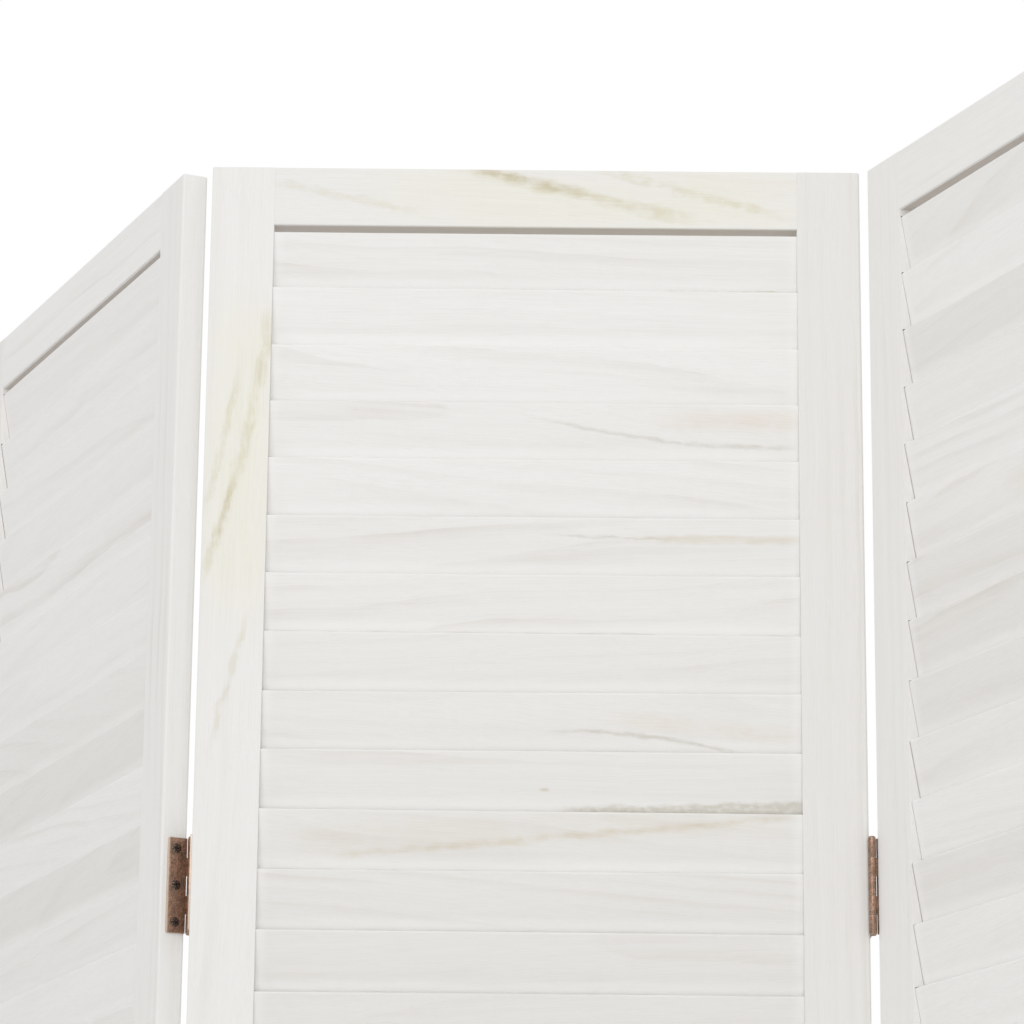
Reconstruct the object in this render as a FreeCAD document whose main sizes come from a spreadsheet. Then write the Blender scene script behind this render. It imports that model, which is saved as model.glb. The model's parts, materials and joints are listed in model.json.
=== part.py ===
import FreeCAD, Part
import math
import os
import Sketcher

# Folding room divider screen: three louvred wooden panels joined by butt hinges, standing in a zig-zag.
# Millimetres, +Z up. Origin: the floor under the middle of the centre panel, which is also the bottom
# centre of the whole screen. +X runs along the centre panel and -Y is the front, the side that the upper
# edges of the slats look to. A panel's own frame is the same: its foot's middle, +X along it, -Y front.

Vector = FreeCAD.Vector
Rotation = FreeCAD.Rotation
Placement = FreeCAD.Placement

dimensions = {
    # panel frame
    "panelWidth": 350,
    "panelHeight": 1650,
    "frameThickness": 14,
    "stileWidth": 34,
    "railHeight": 33,
    "edgeRound": 1.2,
    "endRound": 0.8,
    # slats, which lean so that each lower edge lies behind the upper edge of the slat below
    "slatCount": 48,
    "bankCount": 6,
    "slatPitch": 31.7,
    "slatWidth": 38,
    "slatThickness": 5,
    "slatTilt": 10.6,
    "slatRound": 0.8,
    "slatRecess": 1,
    "railGap": 3,
    "slotDepth": 6,
    "slotClearance": 0.2,
    # dowels that join the rails to the stiles
    "dowelDiameter": 6,
    "dowelLength": 30,
    "dowelSpacing": 16,
    "dowelChamfer": 0.6,
    "dowelClearance": 0.05,
    # hinges
    "hingeTurn": 65.4,
    "jointGap": 2.6,
    "axisProud": 2.2,
    "hingeDrop": 392,
    "leafLength": 50,
    "leafReach": 12.7,
    "leafThickness": 1.1,
    "leafEase": 0.15,
    "barrelDiameter": 4,
    "knuckleCount": 5,
    "knuckleClearance": 0.1,
    "notchReach": 2.3,
    "tabReach": 1.3,
    "pinDiameter": 2,
    "pinClearance": 0.05,
    "pinHeadDiameter": 3.9,
    "pinHeadHeight": 1.3,
    "pinTailDiameter": 3.4,
    "pinTailHeight": 0.8,
    # hinge screws
    "screwCount": 3,
    "screwSpacing": 19.3,
    "screwReach": 7.9,
    "screwHeadDiameter": 5.3,
    "screwShankDiameter": 3.2,
    "screwLength": 15,
    "screwPoint": 2.5,
    "screwRecessWidth": 0.7,
    "screwRecessSpan": 3,
    "screwRecessDepth": 0.8,
    "screwClearance": 0.05,
}

doc = FreeCAD.newDocument("FoldingScreen")
sheet = doc.addObject("Spreadsheet::Sheet", "Dims")
for row, (alias, value) in enumerate(dimensions.items(), start=1):
    sheet.set(f"A{row}", str(value))
    sheet.setAlias(f"A{row}", alias)
doc.recompute()

# Derived sizes, as expressions on the sheet.
opening = "(Dims.panelWidth - 2 * Dims.stileWidth)"
slat_span = "(Dims.slatWidth * cos(Dims.slatTilt) + Dims.slatThickness * sin(Dims.slatTilt))"
slat_depth = "(Dims.slatWidth * sin(Dims.slatTilt) + Dims.slatThickness * cos(Dims.slatTilt))"
slat_field = f"((Dims.slatCount - 1) * Dims.slatPitch + {slat_span})"
slat_y = f"(Dims.slatRecess + {slat_depth} / 2 - Dims.frameThickness / 2)"
top_rail_z = "(Dims.panelHeight - Dims.railHeight)"
lowest_slat_z = f"({top_rail_z} - Dims.railGap - {slat_field})"
bottom_rail_z = f"({lowest_slat_z} - Dims.railGap - Dims.railHeight)"
knuckle_height = "(Dims.leafLength / Dims.knuckleCount)"
leaf_face = "(Dims.jointGap / 2 - Dims.leafThickness)"
screw_head_radius = "(Dims.screwHeadDiameter / 2)"
screw_shank_radius = "(Dims.screwShankDiameter / 2)"

nodes = []


def number(expression):
    """Value of a sheet expression in millimetres or degrees."""
    result = sheet.evalExpression(expression)
    return float(getattr(result, "Value", result))


def bind(target, expressions):
    for name, expression in expressions.items():
        target.setExpression(name, expression)


def new_body(label):
    body = doc.addObject("PartDesign::Body", label)
    body.Label = label
    return body


def origin_feature(body, role):
    return next(feature for feature in body.Origin.OriginFeatures if feature.Role == role)


def attach(feature, body, plane, shift):
    """Attach to an origin plane, moved by three expressions in the plane's own x, y and normal."""
    feature.AttachmentSupport = [(origin_feature(body, plane), "")]
    feature.MapMode = "FlatFace"
    bind(feature, {f"AttachmentOffset.Base.{axis}": shift[axis] for axis in shift})


def new_sketch(body, name, plane, **shift):
    sketch = body.newObject("Sketcher::SketchObject", name)
    attach(sketch, body, plane, shift)
    return sketch


def dimension(sketch, name, constraint, expression):
    index = sketch.addConstraint(constraint)
    sketch.renameConstraint(index, name)
    sketch.setExpression(f"Constraints.{name}", expression)


def rounded_rectangle(sketch, width, height, radius):
    """Closed outline centred on the sketch's origin: four sides, each followed by its corner arc."""
    reach_x = number(width) / 2
    reach_y = number(height) / 2
    corner = number(radius)
    inner_x = reach_x - corner
    inner_y = reach_y - corner
    sides = [
        ((-inner_x, -reach_y), (inner_x, -reach_y)),
        ((reach_x, -inner_y), (reach_x, inner_y)),
        ((inner_x, reach_y), (-inner_x, reach_y)),
        ((-reach_x, inner_y), (-reach_x, -inner_y)),
    ]
    centres = [(inner_x, -inner_y), (inner_x, inner_y), (-inner_x, inner_y), (-inner_x, -inner_y)]
    for quarter, ((start, end), centre) in enumerate(zip(sides, centres)):
        sketch.addGeometry(Part.LineSegment(Vector(*start, 0), Vector(*end, 0)))
        circle = Part.Circle(Vector(*centre, 0), Vector(0, 0, 1), corner)
        start_angle = (quarter - 1) * math.pi / 2
        sketch.addGeometry(Part.ArcOfCircle(circle, start_angle, start_angle + math.pi / 2))
    for index in range(8):
        sketch.addConstraint(Sketcher.Constraint("Tangent", index, 2, (index + 1) % 8, 1))
    for index in (0, 4):
        sketch.addConstraint(Sketcher.Constraint("Horizontal", index))
    for index in (2, 6):
        sketch.addConstraint(Sketcher.Constraint("Vertical", index))
    for index in (3, 5, 7):
        sketch.addConstraint(Sketcher.Constraint("Equal", 1, index))
    sketch.addConstraint(Sketcher.Constraint("Symmetric", 1, 3, 5, 3, -1, 1))
    dimension(sketch, "Corner", Sketcher.Constraint("Radius", 1, corner), radius)
    dimension(sketch, "Width", Sketcher.Constraint("DistanceX", 6, 1, 2, 1, 2 * reach_x), width)
    dimension(sketch, "Height", Sketcher.Constraint("DistanceY", 0, 1, 4, 1, 2 * reach_y), height)


def circle_column(sketch, radius, heights):
    """Equal circles on the sketch's vertical axis, at the given heights above its origin."""
    for index, height in enumerate(heights):
        centre = Vector(0, number(height), 0)
        sketch.addGeometry(Part.Circle(centre, Vector(0, 0, 1), number(radius)))
        sketch.addConstraint(Sketcher.Constraint("PointOnObject", index, 3, -2))
        height_datum = Sketcher.Constraint("DistanceY", -1, 1, index, 3, centre.y)
        dimension(sketch, f"Height{index + 1}", height_datum, height)
        if index > 0:
            sketch.addConstraint(Sketcher.Constraint("Equal", 0, index))
    dimension(sketch, "Radius", Sketcher.Constraint("Radius", 0, number(radius)), radius)


def pad(body, name, sketch, length, symmetric=False):
    feature = body.newObject("PartDesign::Pad", name)
    feature.Profile = sketch
    feature.SideType = "Symmetric" if symmetric else "One side"
    feature.setExpression("Length", length)
    return feature


def pocket(body, name, sketch, length, along_normal=False, symmetric=False):
    """Cut from the sketch against its normal, or along it, or to both sides."""
    feature = body.newObject("PartDesign::Pocket", name)
    feature.Profile = sketch
    feature.SideType = "Symmetric" if symmetric else "One side"
    feature.Reversed = along_normal
    feature.setExpression("Length", length)
    return feature


def repeat_up(body, name, feature, spacing, count):
    """Repeat a feature along the body's +Z."""
    pattern = body.newObject("PartDesign::LinearPattern", name)
    pattern.Originals = [feature]
    pattern.Direction = (origin_feature(body, "Z_Axis"), [""])
    pattern.Mode = "Spacing"
    bind(pattern, {"Offset": spacing, "Occurrences": count})
    body.Tip = pattern
    return pattern


def round_edges(body, name, base, is_wanted, radius):
    doc.recompute()
    edges = [f"Edge{i}" for i, edge in enumerate(base.Shape.Edges, start=1) if is_wanted(edge)]
    fillet = body.newObject("PartDesign::Fillet", name)
    fillet.Base = (base, edges)
    fillet.setExpression("Radius", radius)
    return fillet


def primitive(body, kind, name, plane, sizes, **shift):
    """PartDesign primitive whose own Z is the plane's normal."""
    feature = body.newObject(f"PartDesign::{kind}", name)
    attach(feature, body, plane, shift)
    bind(feature, sizes)
    return feature


# Places of the panels and of the two joints ----------------------------------------------------------

turn = number("Dims.hingeTurn")
screw_count = int(number("Dims.screwCount"))
axis_x = number("Dims.panelWidth / 2 + Dims.jointGap / 2")
axis_y = number("Dims.frameThickness / 2 + Dims.axisProud")
panel_step = number("Dims.panelWidth + Dims.jointGap")
hinge_heights = [
    number("Dims.hingeDrop"),
    number("Dims.panelHeight / 2"),
    number("Dims.panelHeight - Dims.hingeDrop"),
]
hinge_names = ["lower", "middle", "upper"]
upright = Vector(0, 0, 1)


def turned_about(axis, degrees):
    return Placement(Vector(0, 0, 0), Rotation(upright, degrees), axis)


# The right joint's pins stand in front and the left joint's behind, so both side panels turn the same way.
joint_axes = {"left": Vector(-axis_x, axis_y, 0), "right": Vector(axis_x, -axis_y, 0)}
flat_places = {"left": Vector(-panel_step, 0, 0), "right": Vector(panel_step, 0, 0)}
panel_places = {"centre": Placement()}
joint_places = {}
for joint_side, joint_axis in joint_axes.items():
    flat_place = Placement(flat_places[joint_side], Rotation())
    panel_places[joint_side] = turned_about(joint_axis, -turn) * flat_place
    # A joint's own frame: origin on its axis, leaves towards +Y, centre panel at -X and side panel at +X.
    about = Rotation(upright, 180 if joint_side == "left" else 0)
    joint_places[joint_side] = Placement(joint_axis, about)
hinged_stiles = {("left", 1): 1, ("centre", -1): 1, ("centre", 1): -1, ("right", -1): -1}


def screw_lift(k):
    """Height of a leaf's k-th screw above the leaf's middle."""
    return f"({k} - (Dims.screwCount - 1) / 2) * Dims.screwSpacing"


def leaf_place(joint_side, on_side_panel):
    swing = Placement(Vector(0, 0, 0), Rotation(upright, -turn if on_side_panel else 0))
    return joint_places[joint_side] * swing


def keep(feature, place):
    feature.Placement = place
    nodes.append(feature)


# Wooden pieces ---------------------------------------------------------------------------------------

dowel_drops = ["- Dims.dowelSpacing / 2", "+ Dims.dowelSpacing / 2"]
rail_middles = [f"{rail_z} + Dims.railHeight / 2" for rail_z in (bottom_rail_z, top_rail_z)]
dowel_hole_radius = "Dims.dowelDiameter / 2 + Dims.dowelClearance"
dowel_hole_depth = "Dims.dowelLength / 2 + 2 * Dims.dowelClearance"


def is_on_end(shape, low, high):
    def wanted(edge):
        box = edge.BoundBox
        return box.ZLength < 1e-6 and (abs(box.ZMin - low) < 1e-6 or abs(box.ZMin - high) < 1e-6)
    return wanted


def make_stile(panel, side):
    """Upright of a panel's frame. Own origin: foot of its inner face; it extends towards side * X."""
    body = new_body(f"{panel}_panel_{'left' if side < 0 else 'right'}_stile")
    outline = new_sketch(body, "Outline", "XY_Plane", x=f"{side} * Dims.stileWidth / 2")
    rounded_rectangle(outline, "Dims.stileWidth", "Dims.frameThickness", "Dims.edgeRound")
    upright_pad = pad(body, "Upright", outline, "Dims.panelHeight")
    ends = is_on_end(upright_pad, 0, number("Dims.panelHeight"))
    round_edges(body, "EndRounding", upright_pad, ends, "Dims.endRound")

    slot = new_sketch(body, "SlotOutline", "YZ_Plane", x=slat_y, y=f"{lowest_slat_z} + {slat_span} / 2")
    slot.setExpression("AttachmentOffset.Rotation.Angle", "Dims.slatTilt")
    rounded_rectangle(
        slot,
        "Dims.slatThickness + 2 * Dims.slotClearance",
        "Dims.slatWidth + 2 * Dims.slotClearance",
        "Dims.slatRound + Dims.slotClearance",
    )
    first_slot = pocket(body, "Slot", slot, "Dims.slotDepth", along_normal=side > 0)
    repeat_up(body, "Slots", first_slot, "Dims.slatPitch", "Dims.slatCount")

    holes = new_sketch(body, "DowelHoleOutlines", "YZ_Plane")
    heights = [f"{middle} {drop}" for middle in rail_middles for drop in dowel_drops]
    circle_column(holes, dowel_hole_radius, heights)
    last = pocket(body, "DowelHoles", holes, dowel_hole_depth, along_normal=side > 0)

    if (panel, side) in hinged_stiles:
        toward_back = hinged_stiles[(panel, side)]
        screw_y = f"{toward_back} * (Dims.frameThickness / 2 + Dims.axisProud - Dims.screwReach)"
        pilots = new_sketch(body, "PilotOutlines", "YZ_Plane", x=screw_y, z=f"{side} * Dims.stileWidth")
        spread = [screw_lift(k) for k in range(screw_count)]
        heights = [f"{height} + {offset}" for height in hinge_heights for offset in spread]
        circle_column(pilots, f"{screw_shank_radius} + Dims.screwClearance", heights)
        last = pocket(body, "Pilots", pilots, "Dims.screwLength", along_normal=side < 0)
    body.Tip = last
    inner_face = number(f"{side} * {opening} / 2")
    keep(body, panel_places[panel] * Placement(Vector(inner_face, 0, 0), Rotation()))


def make_rail(panel, name, rail_z):
    """Crosspiece between the stiles. Own origin: the middle of its underside."""
    body = new_body(f"{panel}_panel_{name}_rail")
    outline = new_sketch(body, "Outline", "YZ_Plane", y="Dims.railHeight / 2")
    rounded_rectangle(outline, "Dims.frameThickness", "Dims.railHeight", "Dims.edgeRound")
    pad(body, "Crosspiece", outline, opening, symmetric=True)
    for side, end_name in ((-1, "Left"), (1, "Right")):
        holes = new_sketch(body, f"{end_name}HoleOutlines", "YZ_Plane", z=f"{side} * {opening} / 2")
        circle_column(holes, dowel_hole_radius, [f"Dims.railHeight / 2 {drop}" for drop in dowel_drops])
        last = pocket(body, f"{end_name}Holes", holes, dowel_hole_depth, along_normal=side < 0)
    body.Tip = last
    keep(body, panel_places[panel] * Placement(Vector(0, 0, number(rail_z)), Rotation()))


def make_slat_bank(panel, bank):
    """Neighbouring slats, separate solids. Own origin: under the lowest one's lower edge."""
    body = new_body(f"{panel}_panel_slats_{bank + 1}")
    body.AllowCompound = True
    section = new_sketch(body, "Section", "YZ_Plane", x=slat_y, y=f"{slat_span} / 2")
    section.setExpression("AttachmentOffset.Rotation.Angle", "Dims.slatTilt")
    rounded_rectangle(section, "Dims.slatThickness", "Dims.slatWidth", "Dims.slatRound")
    length = f"{opening} + 2 * (Dims.slotDepth - Dims.slotClearance)"
    slat = pad(body, "Slat", section, length, symmetric=True)
    repeat_up(body, "Slats", slat, "Dims.slatPitch", "Dims.slatCount / Dims.bankCount")
    height = number(f"{lowest_slat_z} + {bank} * Dims.slatCount / Dims.bankCount * Dims.slatPitch")
    keep(body, panel_places[panel] * Placement(Vector(0, 0, height), Rotation()))


# Hinges ----------------------------------------------------------------------------------------------

def make_leaf(label, side, first_gap, gap_count, place):
    """Hinge leaf with its knuckles. Own origin: on the pin's axis at the leaf's lower end."""
    body = new_body(label)
    plate_depth = "Dims.leafReach - Dims.tabReach"
    plate = new_sketch(
        body, "PlateOutline", "XY_Plane",
        x=f"{side} * (Dims.jointGap - Dims.leafThickness) / 2",
        y="(Dims.leafReach + Dims.tabReach) / 2",
    )
    rounded_rectangle(plate, "Dims.leafThickness", plate_depth, "Dims.leafEase")
    pad(body, "Plate", plate, "Dims.leafLength")

    barrel_size = {"Radius": "Dims.barrelDiameter / 2", "Height": "Dims.leafLength"}
    primitive(body, "AdditiveCylinder", "Barrel", "XY_Plane", barrel_size)
    bore_size = {"Radius": "Dims.pinDiameter / 2 + Dims.pinClearance", "Height": "Dims.leafLength"}
    primitive(body, "SubtractiveCylinder", "PinBore", "XY_Plane", bore_size)

    gap_height = f"{knuckle_height} + 2 * Dims.knuckleClearance"
    gap_depth = "Dims.notchReach + Dims.barrelDiameter"
    gap = new_sketch(
        body, "GapOutline", "YZ_Plane",
        x="(Dims.notchReach - Dims.barrelDiameter) / 2",
        y=f"({first_gap} + 0.5) * {knuckle_height}",
    )
    rounded_rectangle(gap, gap_depth, gap_height, "Dims.leafEase")
    first = pocket(body, "KnuckleGap", gap, "2 * Dims.barrelDiameter", symmetric=True)
    repeat_up(body, "KnuckleGaps", first, f"2 * {knuckle_height}", str(gap_count))

    wide = f"{screw_head_radius} + Dims.screwClearance"
    narrow = f"{screw_shank_radius} + Dims.screwClearance"
    low_x = leaf_face if side > 0 else "-Dims.jointGap / 2"
    countersink = primitive(
        body, "SubtractiveCone", "Countersink", "YZ_Plane",
        {
            "Radius1": wide if side > 0 else narrow,
            "Radius2": narrow if side > 0 else wide,
            "Height": "Dims.leafThickness",
        },
        x="Dims.screwReach",
        y="Dims.leafLength / 2 - (Dims.screwCount - 1) / 2 * Dims.screwSpacing",
        z=low_x,
    )
    repeat_up(body, "Countersinks", countersink, "Dims.screwSpacing", "Dims.screwCount")
    keep(body, place)


def make_pin(label, place):
    """Hinge pin with a domed head above the barrel and a riveted end below it."""
    body = new_body(label)
    shank = {
        "Radius": "Dims.pinDiameter / 2",
        "Height": "Dims.leafLength + 2 * Dims.pinClearance",
    }
    head = {"Radius": "Dims.pinHeadDiameter / 2", "Height": "Dims.pinHeadHeight"}
    tail = {"Radius": "Dims.pinTailDiameter / 2", "Height": "Dims.pinTailHeight"}
    primitive(body, "AdditiveCylinder", "Shank", "XY_Plane", shank, z="-Dims.pinClearance")
    primitive(body, "AdditiveCylinder", "Tail", "XY_Plane", tail, z="-Dims.pinTailHeight - Dims.pinClearance")
    top = primitive(
        body, "AdditiveCylinder", "Head", "XY_Plane", head, z="Dims.leafLength + Dims.pinClearance")
    high = number("Dims.leafLength + Dims.pinClearance + Dims.pinHeadHeight")
    low = number("-Dims.pinTailHeight - Dims.pinClearance")
    dome = round_edges(body, "Dome", top, is_on_end(top, high, high), "Dims.pinHeadHeight * 0.8")
    tail_round = round_edges(body, "TailRound", dome, is_on_end(top, low, low), "Dims.pinTailHeight / 2")
    body.Tip = tail_round
    keep(body, place)


def make_hinge(joint_side, hinge_name, middle_z):
    foot = Placement(Vector(0, 0, middle_z - number("Dims.leafLength / 2")), Rotation())
    name = f"{joint_side}_hinge_{hinge_name}"
    even_gaps = int(number("Dims.knuckleCount")) // 2
    odd_gaps = int(number("Dims.knuckleCount")) - even_gaps
    make_leaf(f"{name}_centre_leaf", -1, 1, even_gaps, leaf_place(joint_side, False) * foot)
    make_leaf(f"{name}_side_leaf", 1, 0, odd_gaps, leaf_place(joint_side, True) * foot)
    make_pin(f"{name}_pin", leaf_place(joint_side, False) * foot)


# Fasteners: one pattern piece of each, and groups of separate copies -----------------------------------

def make_screw_pattern():
    """Countersunk cross-recess wood screw. Own origin: the middle of its head's face; it points to -Z."""
    body = new_body("screw_pattern")
    head = {
        "Radius1": screw_shank_radius,
        "Radius2": screw_head_radius,
        "Height": "Dims.leafThickness",
    }
    shank = {
        "Radius": screw_shank_radius,
        "Height": "Dims.screwLength - Dims.leafThickness - Dims.screwPoint",
    }
    point = {
        "Radius1": "Dims.screwShankDiameter / 8",
        "Radius2": screw_shank_radius,
        "Height": "Dims.screwPoint",
    }
    primitive(body, "AdditiveCone", "Head", "XY_Plane", head, z="-Dims.leafThickness")
    primitive(body, "AdditiveCylinder", "Shank", "XY_Plane", shank, z="Dims.screwPoint - Dims.screwLength")
    primitive(body, "AdditiveCone", "Point", "XY_Plane", point, z="-Dims.screwLength")
    spans = ["Dims.screwRecessSpan", "Dims.screwRecessWidth"]
    for name, (span_x, span_y) in (("RecessX", spans), ("RecessY", reversed(spans))):
        sizes = {"Length": span_x, "Width": span_y, "Height": "Dims.screwRecessDepth"}
        shift = {"x": f"-{span_x} / 2", "y": f"-{span_y} / 2", "z": "-Dims.screwRecessDepth"}
        primitive(body, "SubtractiveBox", name, "XY_Plane", sizes, **shift)
    return body


def make_dowel_pattern():
    """Chamfered wooden dowel along Z. Own origin: its middle."""
    body = new_body("dowel_pattern")
    size = {"Radius": "Dims.dowelDiameter / 2", "Height": "Dims.dowelLength"}
    rod = primitive(body, "AdditiveCylinder", "Rod", "XY_Plane", size, z="-Dims.dowelLength / 2")
    doc.recompute()
    half = number("Dims.dowelLength / 2")
    on_end = is_on_end(rod, -half, half)
    edges = [f"Edge{i}" for i, edge in enumerate(rod.Shape.Edges, start=1) if on_end(edge)]
    chamfer = body.newObject("PartDesign::Chamfer", "Ends")
    chamfer.Base = (rod, edges)
    chamfer.setExpression("Size", "Dims.dowelChamfer")
    body.Tip = chamfer
    return body


def make_group(label, pattern, places, panel):
    """One node of separate copies of a fastener, placed in its panel's own frame."""
    group = doc.addObject("Part::Feature", label)
    group.Label = label
    group.Shape = Part.makeCompound([pattern.Shape.transformed(place.toMatrix()) for place in places])
    keep(group, panel_places[panel])


def screw_places(panel):
    """Places of a panel's hinge screws, in the panel's own frame."""
    to_panel = panel_places[panel].inverse()
    joints = ["left", "right"] if panel == "centre" else [panel]
    places = []
    for joint_side in joints:
        side = -1 if panel == "centre" else 1
        leaf = to_panel * leaf_place(joint_side, panel != "centre")
        heading = Rotation(Vector(0, 0, 1), Vector(-side, 0, 0))
        for height in hinge_heights:
            for k in range(screw_count):
                lift = number(screw_lift(k))
                spot = Vector(side * number(leaf_face), number("Dims.screwReach"), height + lift)
                places.append(leaf * Placement(spot, heading))
    return places


def dowel_places():
    """Places of a panel's dowels, in the panel's own frame: across each joint of rail and stile."""
    heading = Rotation(Vector(0, 0, 1), Vector(1, 0, 0))
    places = []
    for side in (-1, 1):
        for middle in rail_middles:
            for drop in dowel_drops:
                spot = Vector(number(f"{side} * {opening} / 2"), 0, number(f"{middle} {drop}"))
                places.append(Placement(spot, heading))
    return places


# Build -----------------------------------------------------------------------------------------------

for panel in ("left", "centre", "right"):
    for side in (-1, 1):
        make_stile(panel, side)
    make_rail(panel, "bottom", bottom_rail_z)
    make_rail(panel, "top", top_rail_z)
    for bank in range(int(number("Dims.bankCount"))):
        make_slat_bank(panel, bank)

for joint_side in ("left", "right"):
    for hinge_name, middle_z in zip(hinge_names, hinge_heights):
        make_hinge(joint_side, hinge_name, middle_z)

screw_pattern = make_screw_pattern()
dowel_pattern = make_dowel_pattern()
doc.recompute()
for panel in ("left", "centre", "right"):
    make_group(f"{panel}_panel_hinge_screws", screw_pattern, screw_places(panel), panel)
    make_group(f"{panel}_panel_dowels", dowel_pattern, dowel_places(), panel)
doc.recompute()

# Checks before anything is written
cutting = ("Pocket", "SubtractiveCylinder", "SubtractiveCone", "SubtractiveBox")
for item in doc.Objects:
    if "Invalid" in item.State or "Error" in item.State:
        raise RuntimeError(f"{item.Label} failed: {item.State}")
    if item.TypeId.split("::")[-1] in cutting:
        before = item.BaseFeature.Shape.Volume
        if item.Shape.Volume > before - 0.1:
            raise RuntimeError(f"{item.Label} of {item.getParentGeoFeatureGroup().Label} cuts nothing")
for node in nodes:
    if node.Shape.isNull() or not node.Shape.isValid():
        raise RuntimeError(f"{node.Label} has no valid shape")

os.makedirs("parts", exist_ok=True)
for node in nodes:
    node.Shape.exportStep(f"parts/{node.Label}.step")
    print(f"{node.Label}: {len(node.Shape.Solids)} solids, {node.Shape.Volume / 1000:.2f} cm3")
print(f"{len(nodes)} nodes, feet {number(bottom_rail_z):.2f} mm below the bottom rails")
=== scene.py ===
import json
import math
import random

import bmesh
import bpy
from mathutils import Euler, Matrix, Vector


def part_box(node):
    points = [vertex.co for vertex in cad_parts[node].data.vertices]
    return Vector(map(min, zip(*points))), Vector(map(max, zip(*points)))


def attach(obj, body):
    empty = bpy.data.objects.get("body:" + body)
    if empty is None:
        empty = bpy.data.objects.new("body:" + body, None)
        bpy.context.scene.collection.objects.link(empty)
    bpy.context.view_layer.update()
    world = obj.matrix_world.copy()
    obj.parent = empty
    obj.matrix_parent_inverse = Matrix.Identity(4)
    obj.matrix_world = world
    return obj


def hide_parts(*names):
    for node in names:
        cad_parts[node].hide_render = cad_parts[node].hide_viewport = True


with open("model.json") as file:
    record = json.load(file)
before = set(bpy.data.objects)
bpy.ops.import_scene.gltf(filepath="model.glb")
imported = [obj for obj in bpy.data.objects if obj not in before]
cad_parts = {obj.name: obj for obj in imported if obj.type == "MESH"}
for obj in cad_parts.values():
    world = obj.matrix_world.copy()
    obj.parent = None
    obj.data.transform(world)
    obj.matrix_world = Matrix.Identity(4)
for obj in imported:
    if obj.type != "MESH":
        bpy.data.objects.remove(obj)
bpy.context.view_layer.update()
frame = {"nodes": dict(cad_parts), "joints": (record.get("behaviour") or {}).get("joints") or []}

scene = bpy.context.scene
panels = ("left", "centre", "right")
sides = {"left": -1, "right": 1}


# a Wire is a node's socket that can be added, multiplied and so on; a Bench adds the nodes of one tree

class Wire:
    def __init__(self, bench, socket):
        self.bench = bench
        self.socket = socket

    def math(self, operation, *others):
        return self.bench.node("ShaderNodeMath", {"operation": operation}, {
            index: value for index, value in enumerate((self, *others))})["Value"]

    def __add__(self, other):
        return self.math("ADD", other)

    def __sub__(self, other):
        return self.math("SUBTRACT", other)

    def __mul__(self, other):
        return self.math("MULTIPLY", other)

    def __truediv__(self, other):
        return self.math("DIVIDE", other)

    def __pow__(self, other):
        return self.math("POWER", other)

    def __rsub__(self, other):
        return self.bench.number(other).math("SUBTRACT", self)

    def __rtruediv__(self, other):
        return self.bench.number(other).math("DIVIDE", self)

    __radd__ = __add__
    __rmul__ = __mul__


class Part:
    def __init__(self, bench, made):
        self.bench = bench
        self.made = made

    def __getitem__(self, name):
        return Wire(self.bench, self.made.outputs[name])


class Bench:
    def __init__(self, tree):
        self.tree = tree
        self.count = 0

    def node(self, kind, settings=None, values=None):
        made = self.tree.nodes.new(kind)
        made.location = (200 * (self.count % 12), -220 * (self.count // 12))
        self.count += 1
        for name, value in (settings or {}).items():
            setattr(made, name, value)
        for name, value in (values or {}).items():
            socket = made.inputs[name]
            if isinstance(value, Wire):
                self.tree.links.new(value.socket, socket)
            else:
                socket.default_value = value
        return Part(self, made)

    def number(self, value):
        return self.node("ShaderNodeMath", {"operation": "ADD"}, {0: value, 1: 0.0})["Value"]

    def vector(self, x, y, z):
        return self.node("ShaderNodeCombineXYZ", values={"X": x, "Y": y, "Z": z})["Vector"]

    def split(self, vector):
        parts = self.node("ShaderNodeSeparateXYZ", values={"Vector": vector})
        return parts["X"], parts["Y"], parts["Z"]

    def move(self, vector, amount, operation="ADD"):
        return self.node("ShaderNodeVectorMath", {"operation": operation}, {0: vector, 1: amount})["Vector"]

    def clamp(self, value, low=0.0, high=1.0):
        return self.node("ShaderNodeClamp", values={"Value": value, "Min": low, "Max": high})["Result"]

    def fade(self, value, start, end):   # smooth step, from 0 at the start to 1 at the end
        return self.node("ShaderNodeMapRange", {"interpolation_type": "SMOOTHSTEP"}, {
            "Value": value, "From Min": start, "From Max": end})["Result"]

    def noise(self, place, scale, detail=3.0, roughness=0.5, stretch=(1, 1, 1)):
        stretched = self.move(place, stretch, "MULTIPLY")
        return self.node("ShaderNodeTexNoise", {"noise_dimensions": "3D"}, {
            "Vector": stretched, "Scale": scale, "Detail": detail, "Roughness": roughness})["Fac"]

    def mix(self, amount, first, second, blend="MIX"):
        made = self.node("ShaderNodeMix", {"data_type": "RGBA", "blend_type": blend}, {
            0: amount, 6: first, 7: second})
        return Wire(self, made.made.outputs[2])


# measures, read from the frame

def mm(value):
    return value / 1000


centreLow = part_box("centre_panel_left_stile")[0]
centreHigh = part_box("centre_panel_right_stile")[1]
panelWidth = centreHigh.x - centreLow.x
panelHeight = centreHigh.z
thickness = centreHigh.y - centreLow.y
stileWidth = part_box("centre_panel_left_stile")[1].x - centreLow.x
opening = panelWidth - 2 * stileWidth
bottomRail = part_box("centre_panel_bottom_rail")
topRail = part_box("centre_panel_top_rail")
railHeight = topRail[1].z - topRail[0].z
joints = {joint["name"].split("_")[0]: joint for joint in frame["joints"]}

banks = sorted(name for name in frame["nodes"] if name.startswith("centre_panel_slats_"))
slatsPerBank = 8
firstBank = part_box(banks[0])
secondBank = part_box(banks[1])
slatPitch = (secondBank[0].z - firstBank[0].z) / slatsPerBank
slatCount = slatsPerBank * len(banks)
slatSpan = firstBank[1].z - firstBank[0].z - (slatsPerBank - 1) * slatPitch
slatMiddleY = (firstBank[0].y + firstBank[1].y) / 2
slatLength = firstBank[1].x - firstBank[0].x


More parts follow.
